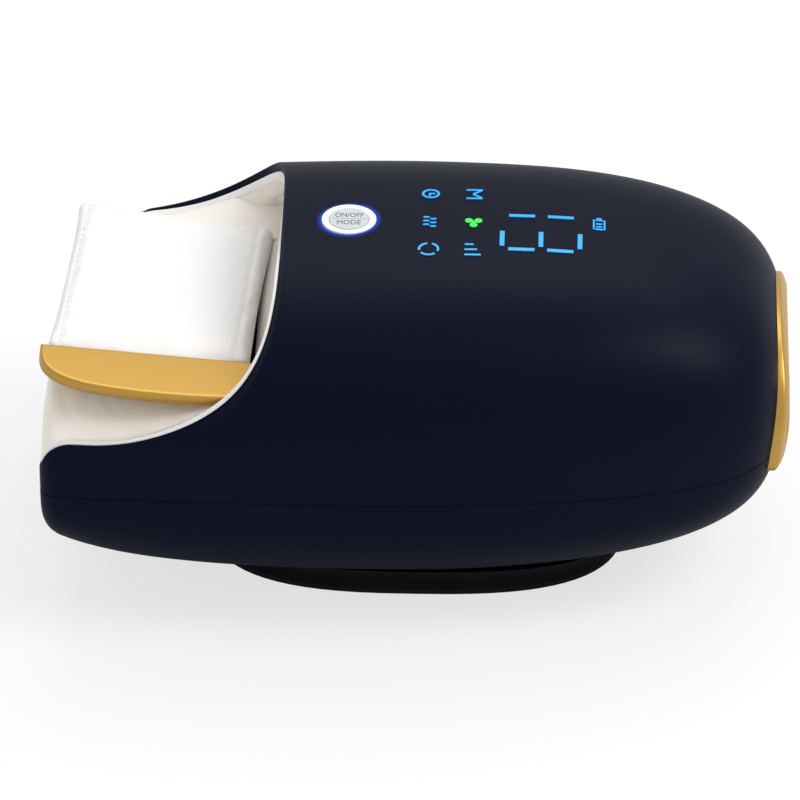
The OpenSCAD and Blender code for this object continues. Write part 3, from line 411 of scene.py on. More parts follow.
def material(name, rgb, rough=0.5, metal=0.0, spec=0.5, grain=0.3, bump=0.1, vary=0.06, coat=0.0, sheen=0.0,
             emit=0.0, kind="noise", depth=0.05):
    """A finish with a fine relief (grain and depth in mm) and a faint change of colour."""
    m = bpy.data.materials.new(name)
    m.use_nodes = True
    t = m.node_tree
    b = t.nodes["Principled BSDF"]
    coords = t.nodes.new("ShaderNodeTexCoord")
    b.inputs["Roughness"].default_value = rough
    b.inputs["Metallic"].default_value = metal
    b.inputs["Specular IOR Level"].default_value = spec
    b.inputs["Coat Weight"].default_value = coat
    b.inputs["Sheen Weight"].default_value = sheen
    soft = t.nodes.new("ShaderNodeTexNoise")
    soft.inputs["Scale"].default_value = 60
    soft.inputs["Detail"].default_value = 4
    t.links.new(coords.outputs["Object"], soft.inputs["Vector"])
    mix = t.nodes.new("ShaderNodeMix")
    mix.data_type = "RGBA"
    c = lin(*rgb)
    mix.inputs[6].default_value = tuple(v * (1 - vary) for v in c[:3]) + (1,)
    mix.inputs[7].default_value = tuple(min(1, v * (1 + vary)) for v in c[:3]) + (1,)
    t.links.new(soft.outputs["Fac"], mix.inputs[0])
    t.links.new(mix.outputs[2], b.inputs["Base Color"])
    node = t.nodes.new("ShaderNodeBump")
    node.inputs["Strength"].default_value = bump
    node.inputs["Distance"].default_value = depth / 1000
    t.links.new(relief_height(t, coords, kind, grain), node.inputs["Height"])
    t.links.new(node.outputs["Normal"], b.inputs["Normal"])
    if emit:
        b.inputs["Emission Color"].default_value = c
        b.inputs["Emission Strength"].default_value = emit
    return m


LOOKS = {
    "navy_plastic": material("navy_soft_touch", (3, 8, 31), rough=0.44, spec=0.08, grain=0.25, bump=0.12,
                             depth=0.02),
    "black_rubber": material("black_rubber", (18, 18, 20), rough=0.75, spec=0.3, grain=0.4, bump=0.3),
    "white_plastic": material("white_satin", (240, 240, 238), rough=0.35, grain=0.6, bump=0.05, vary=0.01),
    "cream_fabric": material("cream_knit", (250, 245, 236), rough=0.95, spec=0.1, grain=0.4, bump=0.25,
                             vary=0.03, sheen=0.15, kind="knit", depth=0.12),
    "gold_metal": material("gold_satin", (200, 158, 76), rough=0.36, metal=0.8, spec=0.5, grain=0.12,
                           bump=0.06, vary=0.04, depth=0.02),
    "black_plastic": material("black_matt", (20, 20, 22), rough=0.6, spec=0.3, grain=0.3, bump=0.15),
    "lit_blue": material("lit_blue", (22, 158, 230), rough=0.3, grain=0.5, bump=0.02, vary=0.02, emit=0.32),
    "lit_green": material("lit_green", (40, 205, 70), rough=0.3, grain=0.5, bump=0.02, vary=0.02, emit=0.55),
    "circuit_board": material("solder_mask", (18, 88, 48), rough=0.4, grain=0.8, bump=0.2, vary=0.2),
    "clear_plastic": material("milky_plastic", (218, 220, 216), rough=0.3, grain=0.6, bump=0.05),
    "white_leather": material("white_leather", (245, 243, 242), rough=0.5, spec=0.35, grain=0.9, bump=0.18,
                              vary=0.012, kind="leather", depth=0.05),
    "steel": material("zinc_steel", (160, 162, 166), rough=0.35, metal=1.0, grain=0.15, bump=0.1,
                      kind="brushed"),
    "copper_film": material("polyimide", (165, 95, 38), rough=0.35, grain=0.5, bump=0.1, vary=0.15),
    "aluminium": material("aluminium", (200, 202, 204), rough=0.4, metal=1.0, grain=0.2, bump=0.12,
                          kind="brushed"),
    "white_ceramic": material("ceramic", (232, 232, 226), rough=0.55, grain=0.3, bump=0.15, vary=0.03),
    "grey_film": material("bladder_film", (160, 166, 172), rough=0.35, spec=0.4, grain=1.2, bump=0.15),
    "brass": material("brass", (195, 158, 82), rough=0.3, metal=1.0, grain=0.15, bump=0.08, kind="brushed"),
    "cell_wrap": material("shrink_wrap", (26, 82, 160), rough=0.3, coat=0.3, grain=1.5, bump=0.1),
}
LETTER = material("grey_print", (88, 92, 98), rough=0.5, grain=0.3, bump=0.02)
THREAD = material("white_thread", (236, 233, 229), rough=0.85, spec=0.2, grain=0.25, bump=0.4, vary=0.05)
FOOT = material("foot_matt", (6, 8, 16), rough=0.6, spec=0.2, grain=0.3, bump=0.15, depth=0.02)
LIT_WHITE = material("lit_white", (232, 240, 246), rough=0.35, grain=0.6, bump=0.04, vary=0.01, emit=0.08)
KEY_GREY = material("key_grey", (206, 212, 214), rough=0.4, grain=0.6, bump=0.05, vary=0.015)


def add_halo(mat, inner=0.0086, outer=0.0108, strength=0.75):
    """The blue light that the button ring throws on the shell, by the distance from the button in metres."""
    t = mat.node_tree
    b = t.nodes["Principled BSDF"]
    coords = t.nodes.new("ShaderNodeTexCoord")
    off = t.nodes.new("ShaderNodeVectorMath")
    off.operation = "DISTANCE"
    off.inputs[1].default_value = tuple(c / 1000 for c in BUTTON_AT)
    ramp = t.nodes.new("ShaderNodeMapRange")
    ramp.interpolation_type = "SMOOTHSTEP"
    ramp.inputs["From Min"].default_value = outer
    ramp.inputs["From Max"].default_value = inner
    ramp.inputs["To Min"].default_value = 0.0
    ramp.inputs["To Max"].default_value = strength
    t.links.new(coords.outputs["Object"], off.inputs[0])
    t.links.new(off.outputs["Value"], ramp.inputs["Value"])
    t.links.new(ramp.outputs["Result"], b.inputs["Emission Strength"])
    b.inputs["Emission Color"].default_value = lin(20, 80, 225)


add_halo(LOOKS["navy_plastic"])
for part in frame["record"]["subparts"]:
    data = frame["nodes"][part["node"]].data
    data.materials.clear()
    data.materials.append(LOOKS[part["material_slot"]])

# ---------- Upper shell ----------
GROOVE = 0.35  # parting line
ARCH_W, ARCH_LOW, ARCH_RISE, TRIM_W = 41.0, 6.0, 38.5, 6.0  # the rear trim's outline and its width
BEVEL_ROWS = [0, 0.06, 0.15, 0.5, 0.85, 0.94, 1.0, 1.08, 1.4]  # shares of the bevel's width
MESH_STEP = 2.3


def arch(k, count=121):
    """The rear trim's arched outline, k inside its outer edge, as y and z."""
    t = np.linspace(0, math.pi, count)
    c, s = np.cos(t), np.sin(t)
    return np.stack([(ARCH_W - k) * np.sign(c) * np.abs(c) ** 0.8,
                     PART - ARCH_LOW + k + (ARCH_RISE - 2 * k) * np.abs(s) ** 0.8], -1)


def station_of(y, z):
    """Where the shell has that y and z, near the rear: x before the lean, and the angle."""
    y, z = np.asarray(y, float), np.asarray(z, float)
    a = np.arctan2(z - PART, np.abs(y))
    r = np.hypot(y, z - PART)
    low, high = np.full(r.shape, 20.0), np.full(r.shape, REAR)
    for _ in range(50):
        mid = (low + high) / 2
        wider = radius(mid, a) > r
        low, high = np.where(wider, mid, low), np.where(wider, high, mid)
    return low, a


def arch_edge():
    """The hole for the rear trim, from the parting line up to the crown, in u and a."""
    edge = arch(TRIM_W)
    edge = edge[(edge[:, 0] <= 0) & (edge[:, 1] >= PART)][::-1]
    x, a = station_of(edge[:, 0], edge[:, 1])
    line = np.stack([unstation(x), a], -1)
    line[0, 1] = 0
    line[-1, 1] = math.pi / 2
    return line[np.argsort(line[:, 1])]


def button_hole():
    t = np.linspace(0, math.pi, 25)
    x = BUTTON_AT[0] + BUTTON_HOLE_R * np.cos(t)
    y = BUTTON_HOLE_R * np.sin(t)
    a = np.arctan2(other_leg(y / side(x), crown(x)), y)
    a[0] = a[-1] = math.pi / 2
    return np.stack([unstation(x), a], -1)


def along_crown(u0, u1, count):
    return [(u, math.pi / 2) for u in np.linspace(u0, u1, count)[1:-1]]


def shell_triangles(half):
    """Triangles over one half of the upper shell, in u and a, with each point's share of the bevel."""
    to_flat = [1, SPAN]
    arch_line, hole = arch_edge(), button_hole()
    strip = [from_rim(r * BEVEL_W[half]) for r in BEVEL_ROWS]
    base_u = np.linspace(-float(face_half(np.array(0.0))), float(arch_line[0, 0]), 150)
    lip_angles = np.linspace(strip[-1][0, 1], 0, 5)[1:-1]
    pts, shares = [], []

    def add(items, share=9.0):
        first = len(pts)
        for q in items:
            pts.append((float(q[0]), float(q[1])))
            shares.append(share)
        return list(range(first, len(pts)))

    base = add([(u, 0.0) for u in base_u])
    rear = add(arch_line[1:])
    back = add(along_crown(float(arch_line[-1, 0]), hole[0, 0], 60))
    ring = add(hole)
    fore = add(along_crown(hole[-1, 0], strip[-1][-1, 0], 12))
    layers = [add(s, r) for s, r in zip(strip, BEVEL_ROWS)]
    lip = add([(-float(face_half(np.array(v))), v) for v in lip_angles])
    loop = (base + rear + back + ring + fore + [l[-1] for l in layers[::-1]] + layers[0][::-1][1:]
            + [l[0] for l in layers[1:]] + lip)
    outline = (np.array(pts) * to_flat)[loop]
    last = strip[-1] * to_flat
    g = np.stack(np.meshgrid(np.arange(-66, 285, MESH_STEP),
                             np.arange(2.4, SPAN * math.pi / 2 - 0.8, MESH_STEP)), -1).reshape(-1, 2)
    g = g[inside(g, outline)]
    g = g[distance(g, outline[::2]) > 1.0]
    g = g[distance(g, last) > 1.3]
    g = g[distance(g, strip[0] * to_flat) > 1.5]
    g = g[inside(g, np.concatenate([last, [[400, SPAN * 1.6], [400, -9], [-90, -9]]]))]
    for v in (GROOVE, 1.1):
        add([(u, v / float(radius(station(np.array(u)), np.array(0.0)))) for u in base_u[1:-1]])
    add(g / to_flat)
    flat = [Vector(p) for p in np.array(pts) * to_flat]
    out = geometry.delaunay_2d_cdt(flat, [], [loop], 1, 1e-6)
    uv = np.array([[v.x, v.y / SPAN] for v in out[0]])
    rho = np.array([min([shares[k] for k in o], default=9.0) for o in out[3]])
    return uv, [list(f) for f in out[2]], rho


def upper_half(half):
    """One half's points, normals and triangles, with its bevel and its half of the parting groove."""
    uv, tris, rho = shell_triangles(half)
    pos = shell(uv[:, 0], uv[:, 1])
    nrm = outward(uv[:, 0], uv[:, 1])
    near_rim = rho < 1.2
    index = np.array([np.argmin((((RIM - q) * [1, SPAN]) ** 2).sum(1)) if f else 0
                      for q, f in zip(uv, near_rim)])
    slope = np.arctan(BEVEL_D[half] / BEVEL_W[half])[index]
    bend = np.where(near_rim, slope * ease((1.04 - rho) / 0.15) + 0.3 * ease((0.1 - rho) / 0.1), 0)
    toward = np.where(near_rim[:, None], -RIM_AWAY[index], 0)
    depth = np.where(near_rim, BEVEL_D[half][index] * np.clip(1 - rho, 0, 1), 0)
    pos = pos - nrm * depth[:, None]
    cut = uv[:, 1] * radius(station(uv[:, 0]), uv[:, 1] * 0) < GROOVE * 0.5
    pos[cut] -= nrm[cut] * GROOVE
    nrm = unit(nrm * np.cos(bend)[:, None] + toward * np.sin(bend)[:, None])
    nrm[cut] = unit(nrm[cut] + [0, 0, -1.0])
    middle = np.abs(pos[:, 1]) < 0.03
    pos[middle, 1] = 0
    nrm[middle, 1] = 0
    return pos, unit(nrm), tris


near_pos, near_nrm, near_tris = upper_half(0)
far_pos, far_nrm, far_tris = upper_half(1)
pos, nrm = slant(np.concatenate([near_pos, mirrored(far_pos)]),
                 np.concatenate([near_nrm, mirrored(far_nrm)]))
far_faces = [[len(near_pos) + i for i in f][::-1] for f in far_tris]
skin = build("upper_shell_skin", pos, near_tris + far_faces, nrm)
rows = [band(lambda i: np.zeros(len(RIM)), lambda i: BEVEL_D[i])]
for behind, below in ((0, -0.25), (0.07, -0.07), (0.25, 0), (7, 0)):
    rows.append(band(lambda i: np.full(len(RIM), float(behind)), lambda i: RIM_T[i] + below))
edge = build("upper_shell_edge", slant(np.concatenate(rows)), grid_faces(len(rows), len(rows[0])))
upper = join([skin, edge], "upper_shell")
finish(upper, LOOKS["navy_plastic"], replaces=["upper_housing"])


# ---------- Lower shell ----------
def two_halves(pos, nrm, faces):
    """Both halves as one mesh, joined along the middle plane, and slanted."""
    middle = np.abs(pos[:, 1]) < 1e-6
    own = np.where(~middle)[0]
    link = np.arange(len(pos))
    link[own] = len(pos) + np.arange(len(own))
    joined = nrm.copy()
    joined[middle, 1] = 0
    p, n = slant(np.concatenate([pos, mirrored(pos[own])]),
                 np.concatenate([unit(joined), mirrored(nrm[own])]))
    return p, n, [list(f) for f in faces] + [[link[i] for i in f][::-1] for f in faces]


us = np.concatenate([np.linspace(-1, 0, 24)[:-1], np.linspace(0, U_EDGE, 12)[:-1],
                     np.linspace(U_EDGE, U_MID + 97.5, 110)])
vs = -np.concatenate([[0, GROOVE / SPAN, 1.1 / SPAN], np.linspace(3 / SPAN, math.pi / 2, 46)])
U, A = np.meshgrid(us, vs, indexing="ij")
U = np.where(U < 0, U * face_half(A), U)
pos, nrm = shell(U, A), outward(U, A)
pos[:, 0] -= nrm[:, 0] * GROOVE
nrm[:, 0] = unit(nrm[:, 0] + [0, 0, 1.0])
pos[np.abs(pos[..., 1]) < 0.03, 1] = 0
faces = grid_faces(len(us), len(vs), flip=True)
pos, nrm, faces = two_halves(pos.reshape(-1, 3), nrm.reshape(-1, 3), faces)
lower = build("lower_shell", pos, faces, nrm)
finish(lower, LOOKS["navy_plastic"], replaces=["lower_housing"])

# ---------- Foot ----------
FOOT_A, FOOT_B, FOOT_POWER, FOOT_SIDES = 67.6, 44.1, 2.74, 160
FOOT_RISE, FOOT_FLARE, FOOT_STEPS = 11.2, 7, 16


def oval(a, b, n, count):
    t = np.linspace(0, 2 * math.pi, count, endpoint=False)
    c, s = np.cos(t), np.sin(t)
    return np.stack([a * np.sign(c) * np.abs(c) ** (2 / n), b * np.sign(s) * np.abs(s) ** (2 / n)], -1)


levels = [(2.0, -1.2), (2.0, -0.5), (2.15, -0.15), (2.5, 0.0)]
levels += [(2.5 + FOOT_RISE * i / FOOT_STEPS, FOOT_FLARE * (i / FOOT_STEPS) ** 2)
           for i in range(1, FOOT_STEPS + 1)]
rows = []
for z, grow in levels:
    o = oval(FOOT_A + grow, FOOT_B + grow, FOOT_POWER, FOOT_SIDES)
    rows.append(np.concatenate([o, np.full((FOOT_SIDES, 1), z)], 1))
faces = grid_faces(len(rows), FOOT_SIDES, wrap_cols=True, flip=True)
foot = build("foot", np.concatenate(rows), faces)
finish(foot, FOOT, replaces=["foot_base"])

# ---------- White bezel inside the rim ----------
# Its profile: how far behind its proud edge, and how far under the shell's edge.
BEZEL = [(5, 0.05), (0.5, 0.05), (0.12, 0.1), (0.02, 0.3), (0, 0.7), (0, 1.6), (0.02, 2.3), (0.15, 2.75),
         (0.5, 2.95), (1.0, 3.0), (5, 3.05)]
rows = [band(lambda i: r - PROUD[i], lambda i: RIM_T[i] + d) for r, d in BEZEL]
bezel = build("rim_bezel_band", slant(np.concatenate(rows)), grid_faces(len(rows), len(rows[0])))
finish(bezel, LOOKS["white_plastic"], replaces=["rim_bezel"])


# ---------- Fabric lining of the tunnel ----------
def smooth_noise(s, t, seed):
    rng = np.random.default_rng(seed)
    out = np.zeros(np.broadcast(s, t).shape)
    for k in range(14):
        f = rng.uniform(0.02, 0.16, 2)
        size = rng.uniform(0.3, 1)
        along = s * f[0] * 2 * math.pi * rng.choice([-1, 1])
        out = out + size * np.sin(along + t * f[1] * 2 * math.pi + rng.uniform(0, 7))
    return out / 5


def thick(ob, t):
    mod = ob.modifiers.new("thickness", "SOLIDIFY")
    mod.thickness = t / 1000
    mod.offset = 0
    return with_modifiers(ob)


LINING_FROM = -99.0
LINING_LOW = 0.075  # the lowest angle that it reaches
start = int(np.argmax(RIM[:, 0] > unstation(LINING_FROM)))
mouth, steps, arc = RIM[start:], RIM_STEP[start:], RIM_S[start:]
reach = np.where(steps[:, 1] < -1e-4, (mouth[:, 1] - LINING_LOW) / np.maximum(-steps[:, 1], 1e-4), 99)
reach = np.clip(reach, 4, 62)
shares = np.concatenate([np.linspace(0, 0.25, 22)[:-1], np.linspace(0.25, 1, 26)])
near_rows, far_rows = [], []
for q in shares:
    for i, half_rows in enumerate((near_rows, far_rows)):
        r = 0.6 + q * (reach - 0.6)
        u, a = mouth[:, 0] + steps[:, 0] * r, mouth[:, 1] + steps[:, 1] * r
        depth = RIM_T[i][start:] + 2.8 + 3.0 * ease(r / 5) + np.where(a > 0.9, 2.4, 1.0) * ease(r / 20)
        gather = np.exp(-((r - 5) / 6) ** 2) * np.clip(r / 2.5, 0, 1)
        depth = depth + gather * (0.55 * np.sin(arc / 5.2 + 0.7 * np.sin(arc / 17)) + 0.3 * np.sin(arc / 2.9))
        depth = depth + 0.9 * smooth_noise(arc, r, 3) * np.clip(r / 6, 0, 1)
        depth = np.maximum(depth, RIM_T[i][start:] + 2.7)
        half_rows.append(shell(u, a) - outward(u, a) * depth[:, None])
near, far = np.stack(near_rows), np.stack(far_rows)
far[:, -1] = near[:, -1]
rows = np.concatenate([near, mirrored(far)[:, ::-1][:, 1:]], 1)
lining = build("lining", slant(rows).reshape(-1, 3), grid_faces(rows.shape[0], rows.shape[1], flip=True))
lining = thick(lining, 0.9)
finish(lining, LOOKS["cream_fabric"], replaces=["hood_lining"])

# ---------- Palm pad ----------
PAD_X0, PAD_X1 = -113.9, -49.9  # front and rear edge
PAD_F, PAD_R, PAD_HALF = 44.6, 41.0, 42.2  # half width at the front, at the rear, and as built
PAD_Y, PAD_Z, PAD_T = 1.5, 89.5, 6.0
PAD_MID = (PAD_X0 + PAD_X1) / 2
TILT_ANGLE = math.radians(7.1)
TILT = math.tan(TILT_ANGLE)
SEAM_IN = 3.9  # from the pad's front edge


def pad_half(x):
    return PAD_F + (PAD_R - PAD_F) * (x - PAD_X0) / (PAD_X1 - PAD_X0)


def pad_point(x, y, z):
    """x along the pad, y across it, z above its top plane."""
    w = y * pad_half(x) / PAD_HALF
    return np.stack([x + SKEW * (w + PAD_Y), w + PAD_Y, PAD_Z - (x + SKEW * w - PAD_MID) * TILT + z], -1)


def rounded_box(hx, hy, hz, r, step):
    """The surface of a box with rounded edges, as a closed mesh of squares."""
    halves = np.array([hx, hy, hz])
    n = [max(2, int(round(2 * h / step))) for h in halves]
    axes = [np.linspace(-h, h, k + 1) for h, k in zip(halves, n)]
    keys, verts, faces = {}, [], []

    def at(i):
        if i not in keys:
            keys[i] = len(verts)
            verts.append([axes[d][i[d]] for d in range(3)])
        return keys[i]

    for d, (e, g) in enumerate([(1, 2), (2, 0), (0, 1)]):
        for s in (0, n[d]):
            for i in range(n[e]):
                for j in range(n[g]):
                    quad = []
                    for di, dj in ((0, 0), (1, 0), (1, 1), (0, 1)):
                        c = [0, 0, 0]
                        c[d], c[e], c[g] = s, i + di, j + dj
                        quad.append(at(tuple(c)))
                    faces.append(quad if s else quad[::-1])
    v = np.array(verts)
    inner = np.clip(v, -halves + r, halves - r)
    far_out = np.linalg.norm(v - inner, axis=1, keepdims=True) > 1e-9
    return inner + unit(v - inner) * r * far_out, faces


def puff(ob, cap, pressure=4.0, frames=20):
    """Fills a stuffed piece by simulation, and keeps each point within cap millimetres of where it was."""
    mod = ob.modifiers.new("fill", "CLOTH")
    s = mod.settings
    s.quality = 5
    s.mass = 0.2
    s.tension_stiffness = 10
    s.compression_stiffness = 10
    s.shear_stiffness = 5
    s.bending_stiffness = 0.3
    s.use_pressure = True
    s.uniform_pressure_force = pressure
    s.effector_weights.gravity = 0
    before = np.array([v.co for v in ob.data.vertices])
    for k in range(1, frames + 1):
        scene.frame_set(k)
    graph = bpy.context.evaluated_depsgraph_get()
    after = np.array([v.co for v in ob.evaluated_get(graph).data.vertices])
    ob.modifiers.clear()
    scene.frame_set(1)
    move = after - before
    far = np.linalg.norm(move, axis=1, keepdims=True)
    move *= np.minimum(1, cap / 1000 / np.maximum(far, 1e-9))
    ob.data.vertices.foreach_set("co", (before + move).ravel())
    ob.data.update()
    return ob


def refine(ob, levels=1):
    mod = ob.modifiers.new("fine", "SUBSURF")
    mod.levels = mod.render_levels = levels
    return with_modifiers(ob)


STITCH_RINGS, STITCH_SIDES = 7, 6


def stitches(name, points, along, up, length, r):
    """Short threads that lie on a seam."""
    verts, faces = [], []
    for p, d, n in zip(points, along, up):
        b = np.cross(d, n)
        faces += grid_faces(STITCH_RINGS, STITCH_SIDES, wrap_cols=True, start=len(verts))
        for t in np.linspace(-1, 1, STITCH_RINGS):
            w = r * math.sqrt(max(0.04, 1 - t * t))
            for j in range(STITCH_SIDES):
                q = 2 * math.pi * j / STITCH_SIDES
                rise = w * math.sin(q) * 0.9 + 0.06 * (1 - t * t)
                verts.append(p + d * t * length / 2 + n * rise + b * w * math.cos(q))
    ob = build(name, verts, faces)
    ob.data.materials.append(THREAD)
    return ob


def lay_on(seam, pad):
    """Moves each stitch up or down onto the pad."""
    pts = np.array([w.co for w in seam.data.vertices])
    each = STITCH_RINGS * STITCH_SIDES
    for k in range(0, len(pts), each):
        c = pts[k:k + each].mean(0)
        pts[k:k + each, 2] += pad.closest_point_on_mesh(Vector(c))[1].z + 0.00012 - c[2]
    seam.data.vertices.foreach_set("co", pts.ravel())


v, faces = rounded_box(31.8, PAD_HALF, PAD_T / 2 - 0.1, 2.75, 1.5)
pad = build("palm_cushion", pad_point(PAD_MID + v[:, 0], v[:, 1], v[:, 2] - PAD_T / 2 - 0.1), faces)
pad = refine(puff(pad, 0.8), 1)
co = np.array([w.co for w in pad.data.vertices]) * 1000
x_in = co[:, 0] - SKEW * co[:, 1]
top_z = PAD_Z - (co[:, 0] - SKEW * PAD_Y - PAD_MID) * TILT
on_top = co[:, 2] > top_z - 2.4
crease = np.exp(-((x_in - (PAD_X0 + SEAM_IN)) / 0.8) ** 2)
crease = crease + 0.8 * np.exp(-((x_in - (PAD_X1 - 5.0)) / 0.8) ** 2)
co[:, 2] += np.where(on_top, -0.45 * crease + 0.22 * smooth_noise(co[:, 0], co[:, 1], 8), 0)
pad.data.vertices.foreach_set("co", (co / 1000).ravel())
pad.data.update()
pad.data.materials.append(LOOKS["white_leather"])
ys = np.arange(-39, 39.1, 3.0)
q = pad_point(np.full(len(ys), PAD_X0 + SEAM_IN), ys, np.zeros(len(ys)))
upward = np.tile(unit(np.array([TILT, 0, 1.0])), (len(q), 1))
seam = stitches("seam", q, unit(np.gradient(q, axis=0)), upward, 1.9, 0.2)
lay_on(seam, pad)
pad = join([pad, seam], "palm_cushion")
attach(pad, "device")
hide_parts("palm_pad")

# ---------- Fabric panels between the bezel and the palm pad ----------
PANEL_TOP = 29.0  # the most that their lower edge rises above the parting line
PANEL_END = -46.5
PANEL_COUNT = 90
PANEL_ROWS = 24


def thirds(corner_at, total, count):
    """Lengths along an edge, evenly spread before, between and after its two corners."""
    return np.concatenate([np.linspace(0, corner_at, count),
                           np.linspace(corner_at, total - corner_at, count)[1:],
                           np.linspace(total - corner_at, total, count)[1:]])


def pad_outline(inset, drop, count):
    """The pad's edge from the rear on the near side, round the front, to the rear on the far side."""
    r = 7.0
    x1, x0, h = PAD_X1 + 15, PAD_X0 + inset, PAD_HALF - inset
    t = np.linspace(0, math.pi / 2, 12)
    line = [(x1, -h)] + [(x0 + r - r * math.sin(b), -h + r - r * math.cos(b)) for b in t]
    line += [(x, -y) for x, y in line[::-1]]
    line = np.array(line)
    s = run(line)
    q = thirds(s[7], s[-1], count)
    return pad_point(np.interp(q, s, line[:, 0]), np.interp(q, s, line[:, 1]), np.full(len(q), drop))


stop = int(np.argmax(RIM[:, 0] > unstation(PANEL_END)))
low = rim_row(0.6, 0.9 + 4.4 * ease((RIM[:, 0] - 1) / 14))[:stop]
over = np.maximum(low[:, 2] - (PART + PANEL_TOP), 0)
a_low = np.arctan2(PANEL_TOP, other_leg(PANEL_TOP / crown(low[:, 0]), side(low[:, 0])))
low[:, 1] = np.where(over > 0, 7.0 - PANEL_TOP / np.tan(a_low), low[:, 1])
low[:, 2] -= over
low = np.concatenate([low, low[-1] + np.array([[k, 0, 0] for k in (3.0, 6.0, 9.0, 12.0)])])
low = slant(both(low))
seg = run(low)
corner_at = seg[int(np.argmax(low[:, 0] < FRONT + 12))]
total = seg[-1]
q = thirds(corner_at, total, PANEL_COUNT)
bottom = np.stack([np.interp(q, seg, low[:, k]) for k in range(3)], -1)
top = pad_outline(1.6, -4.6, PANEL_COUNT)
flow = np.linspace(0, total, len(q))
outwards = unit(np.stack([bottom[:, 0] + 80, bottom[:, 1] * 0.8, np.zeros(len(q))], -1))
rows = [bottom - [0, 0, 3]]
for k in range(PANEL_ROWS + 1):
    t = k / PANEL_ROWS
    bulge = 1.5 * math.sin(math.pi * t ** 0.8)
    fold = 0.45 * smooth_noise(flow, np.full(len(q), t * 20), 5) * math.sin(math.pi * t)
    gather = 0.25 * np.sin(flow / 2.6) * math.exp(-((t - 0.1) / 0.12) ** 2)
    rows.append(bottom * (1 - t) + top * t + outwards * (bulge + fold + gather)[:, None])
skirt = build("palm_panels", np.concatenate(rows), grid_faces(len(rows), len(q), flip=True))
skirt = thick(skirt, 0.8)
finish(skirt, LOOKS["cream_fabric"], replaces=["palm_skirt"])

# ---------- Finger cushion ----------
CUSHION_X, CUSHION_HALF = 3.55, (56.2, 50, 7.5)
CUSHION_LOW, CUSHION_TOP, CUSHION_DIP = 60.0, PART + 28.0, 10.0
v, faces = rounded_box(*CUSHION_HALF, 7.0, 3.0)
x = CUSHION_X + v[:, 0]
wide = (62.7 * fall((x - SIDE_AT) / 86.5, *SIDE_POWERS) * (x > SIDE_AT) + 62.4 * (x <= SIDE_AT)) - 1.0
wide = np.minimum(wide, 57 + (wide - 57) * ease((x + 52) / 6))
high = CUSHION_TOP - CUSHION_DIP * ease((x + 50.1) / 26) - CUSHION_LOW
z = CUSHION_LOW + (v[:, 2] + CUSHION_HALF[2]) / (2 * CUSHION_HALF[2]) * high
cushion = build("finger_pad", np.stack([x, v[:, 1] * wide / CUSHION_HALF[1], z], -1), faces)
cushion = refine(puff(cushion, 0.8), 1)
finish(cushion, LOOKS["cream_fabric"], replaces=["finger_cushion"])

# ---------- Air bags: a flat one under the finger cushion, and a curved one over the hand ----------
v, faces = rounded_box(49.7, 33.7, 1.7, 1.5, 3.0)
swell = 0.25 * np.cos(v[:, 0] * 0.063) * np.cos(v[:, 1] * 0.09)
z = 57.5 + v[:, 2] + swell * np.sign(v[:, 2]) * (np.abs(v[:, 2]) > 1)
low_bag = build("lower_bag", np.stack([6 + v[:, 0], v[:, 1], z], -1), faces)
finish(low_bag, LOOKS["grey_film"], replaces=["lower_airbag"])

BAG_X0, BAG_X1, BAG_HALF, BAG_GRID = -13.6, 55.6, 39.6, 40
BAG_DEPTH = 14.6  # from the shell's outside to the bag's middle
bx, by = np.meshgrid(np.linspace(BAG_X0, BAG_X1, BAG_GRID), np.linspace(-BAG_HALF, BAG_HALF, BAG_GRID),
                     indexing="ij")
middle_z = PART + other_leg(np.abs(by) / side(bx), crown(bx)) - BAG_DEPTH
edge_in = np.minimum(np.minimum(bx - BAG_X0, BAG_X1 - bx), BAG_HALF - np.abs(by)) / 3.0
fullness = 0.75 * np.sqrt(np.clip(edge_in, 0, 1))
rows = [np.stack([bx, by, middle_z + s * fullness], -1).reshape(-1, 3) for s in (1, -1)]
faces = grid_faces(BAG_GRID, BAG_GRID) + grid_faces(BAG_GRID, BAG_GRID, start=BAG_GRID ** 2, flip=True)
high_bag = build("upper_bag", np.concatenate(rows), faces)
finish(high_bag, LOOKS["grey_film"], replaces=["upper_airbag"])

# ---------- Thumb rest ----------
THUMB_MID, THUMB_Z = -81.7, 89.4
THUMB_BEND, THUMB_NOSE = -86.0, 32.3  # where its round nose sets in, and the nose's length
THUMB_REAR, THUMB_Y, THUMB_W = -48.4, -43.3, 20.2
# Its rounded edge: how far in from the outline, and how far above its top plane.
THUMB_EDGE = [(1.2, -4.2), (0.3, -4.15), (0.0, -3.9), (0.0, -1.25), (0.12, -0.95), (0.4, -0.72),
              (0.9, -0.62), (1.6, -0.6)]


def thumb_width(x):
    nose = THUMB_W * fall((THUMB_BEND - x) / THUMB_NOSE, 2.9, 2.9)
    return np.where(x < THUMB_BEND, nose, THUMB_W - 0.0035 * (x - THUMB_BEND) ** 2)


t = np.linspace(0, math.pi / 2, 40)
xs = np.concatenate([THUMB_BEND - THUMB_NOSE * np.cos(t), np.linspace(THUMB_BEND, THUMB_REAR, 24)[1:]])
outer = np.stack([xs - THUMB_MID, THUMB_Y - thumb_width(xs)], -1)
inner = np.array([[THUMB_REAR - THUMB_MID, 1.9 - pad_half(THUMB_REAR)], [xs[0] - THUMB_MID, THUMB_Y + 0.7]])
ring = np.concatenate([outer[1:], inner])
before = unit(ring - np.roll(ring, 1, axis=0))
after = unit(np.roll(ring, -1, axis=0) - ring)
along = unit(before + after)
inwards = np.stack([-along[:, 1], along[:, 0]], -1)
count = len(ring)
pts = np.concatenate([np.concatenate([ring + inwards * inset, np.full((count, 1), z)], 1)
                      for inset, z in THUMB_EDGE])
faces = grid_faces(len(THUMB_EDGE), count, wrap_cols=True, flip=True)
faces += [list(range(len(pts) - count, len(pts))), list(range(count))[::-1]]
c, s = math.cos(TILT_ANGLE), math.sin(TILT_ANGLE)
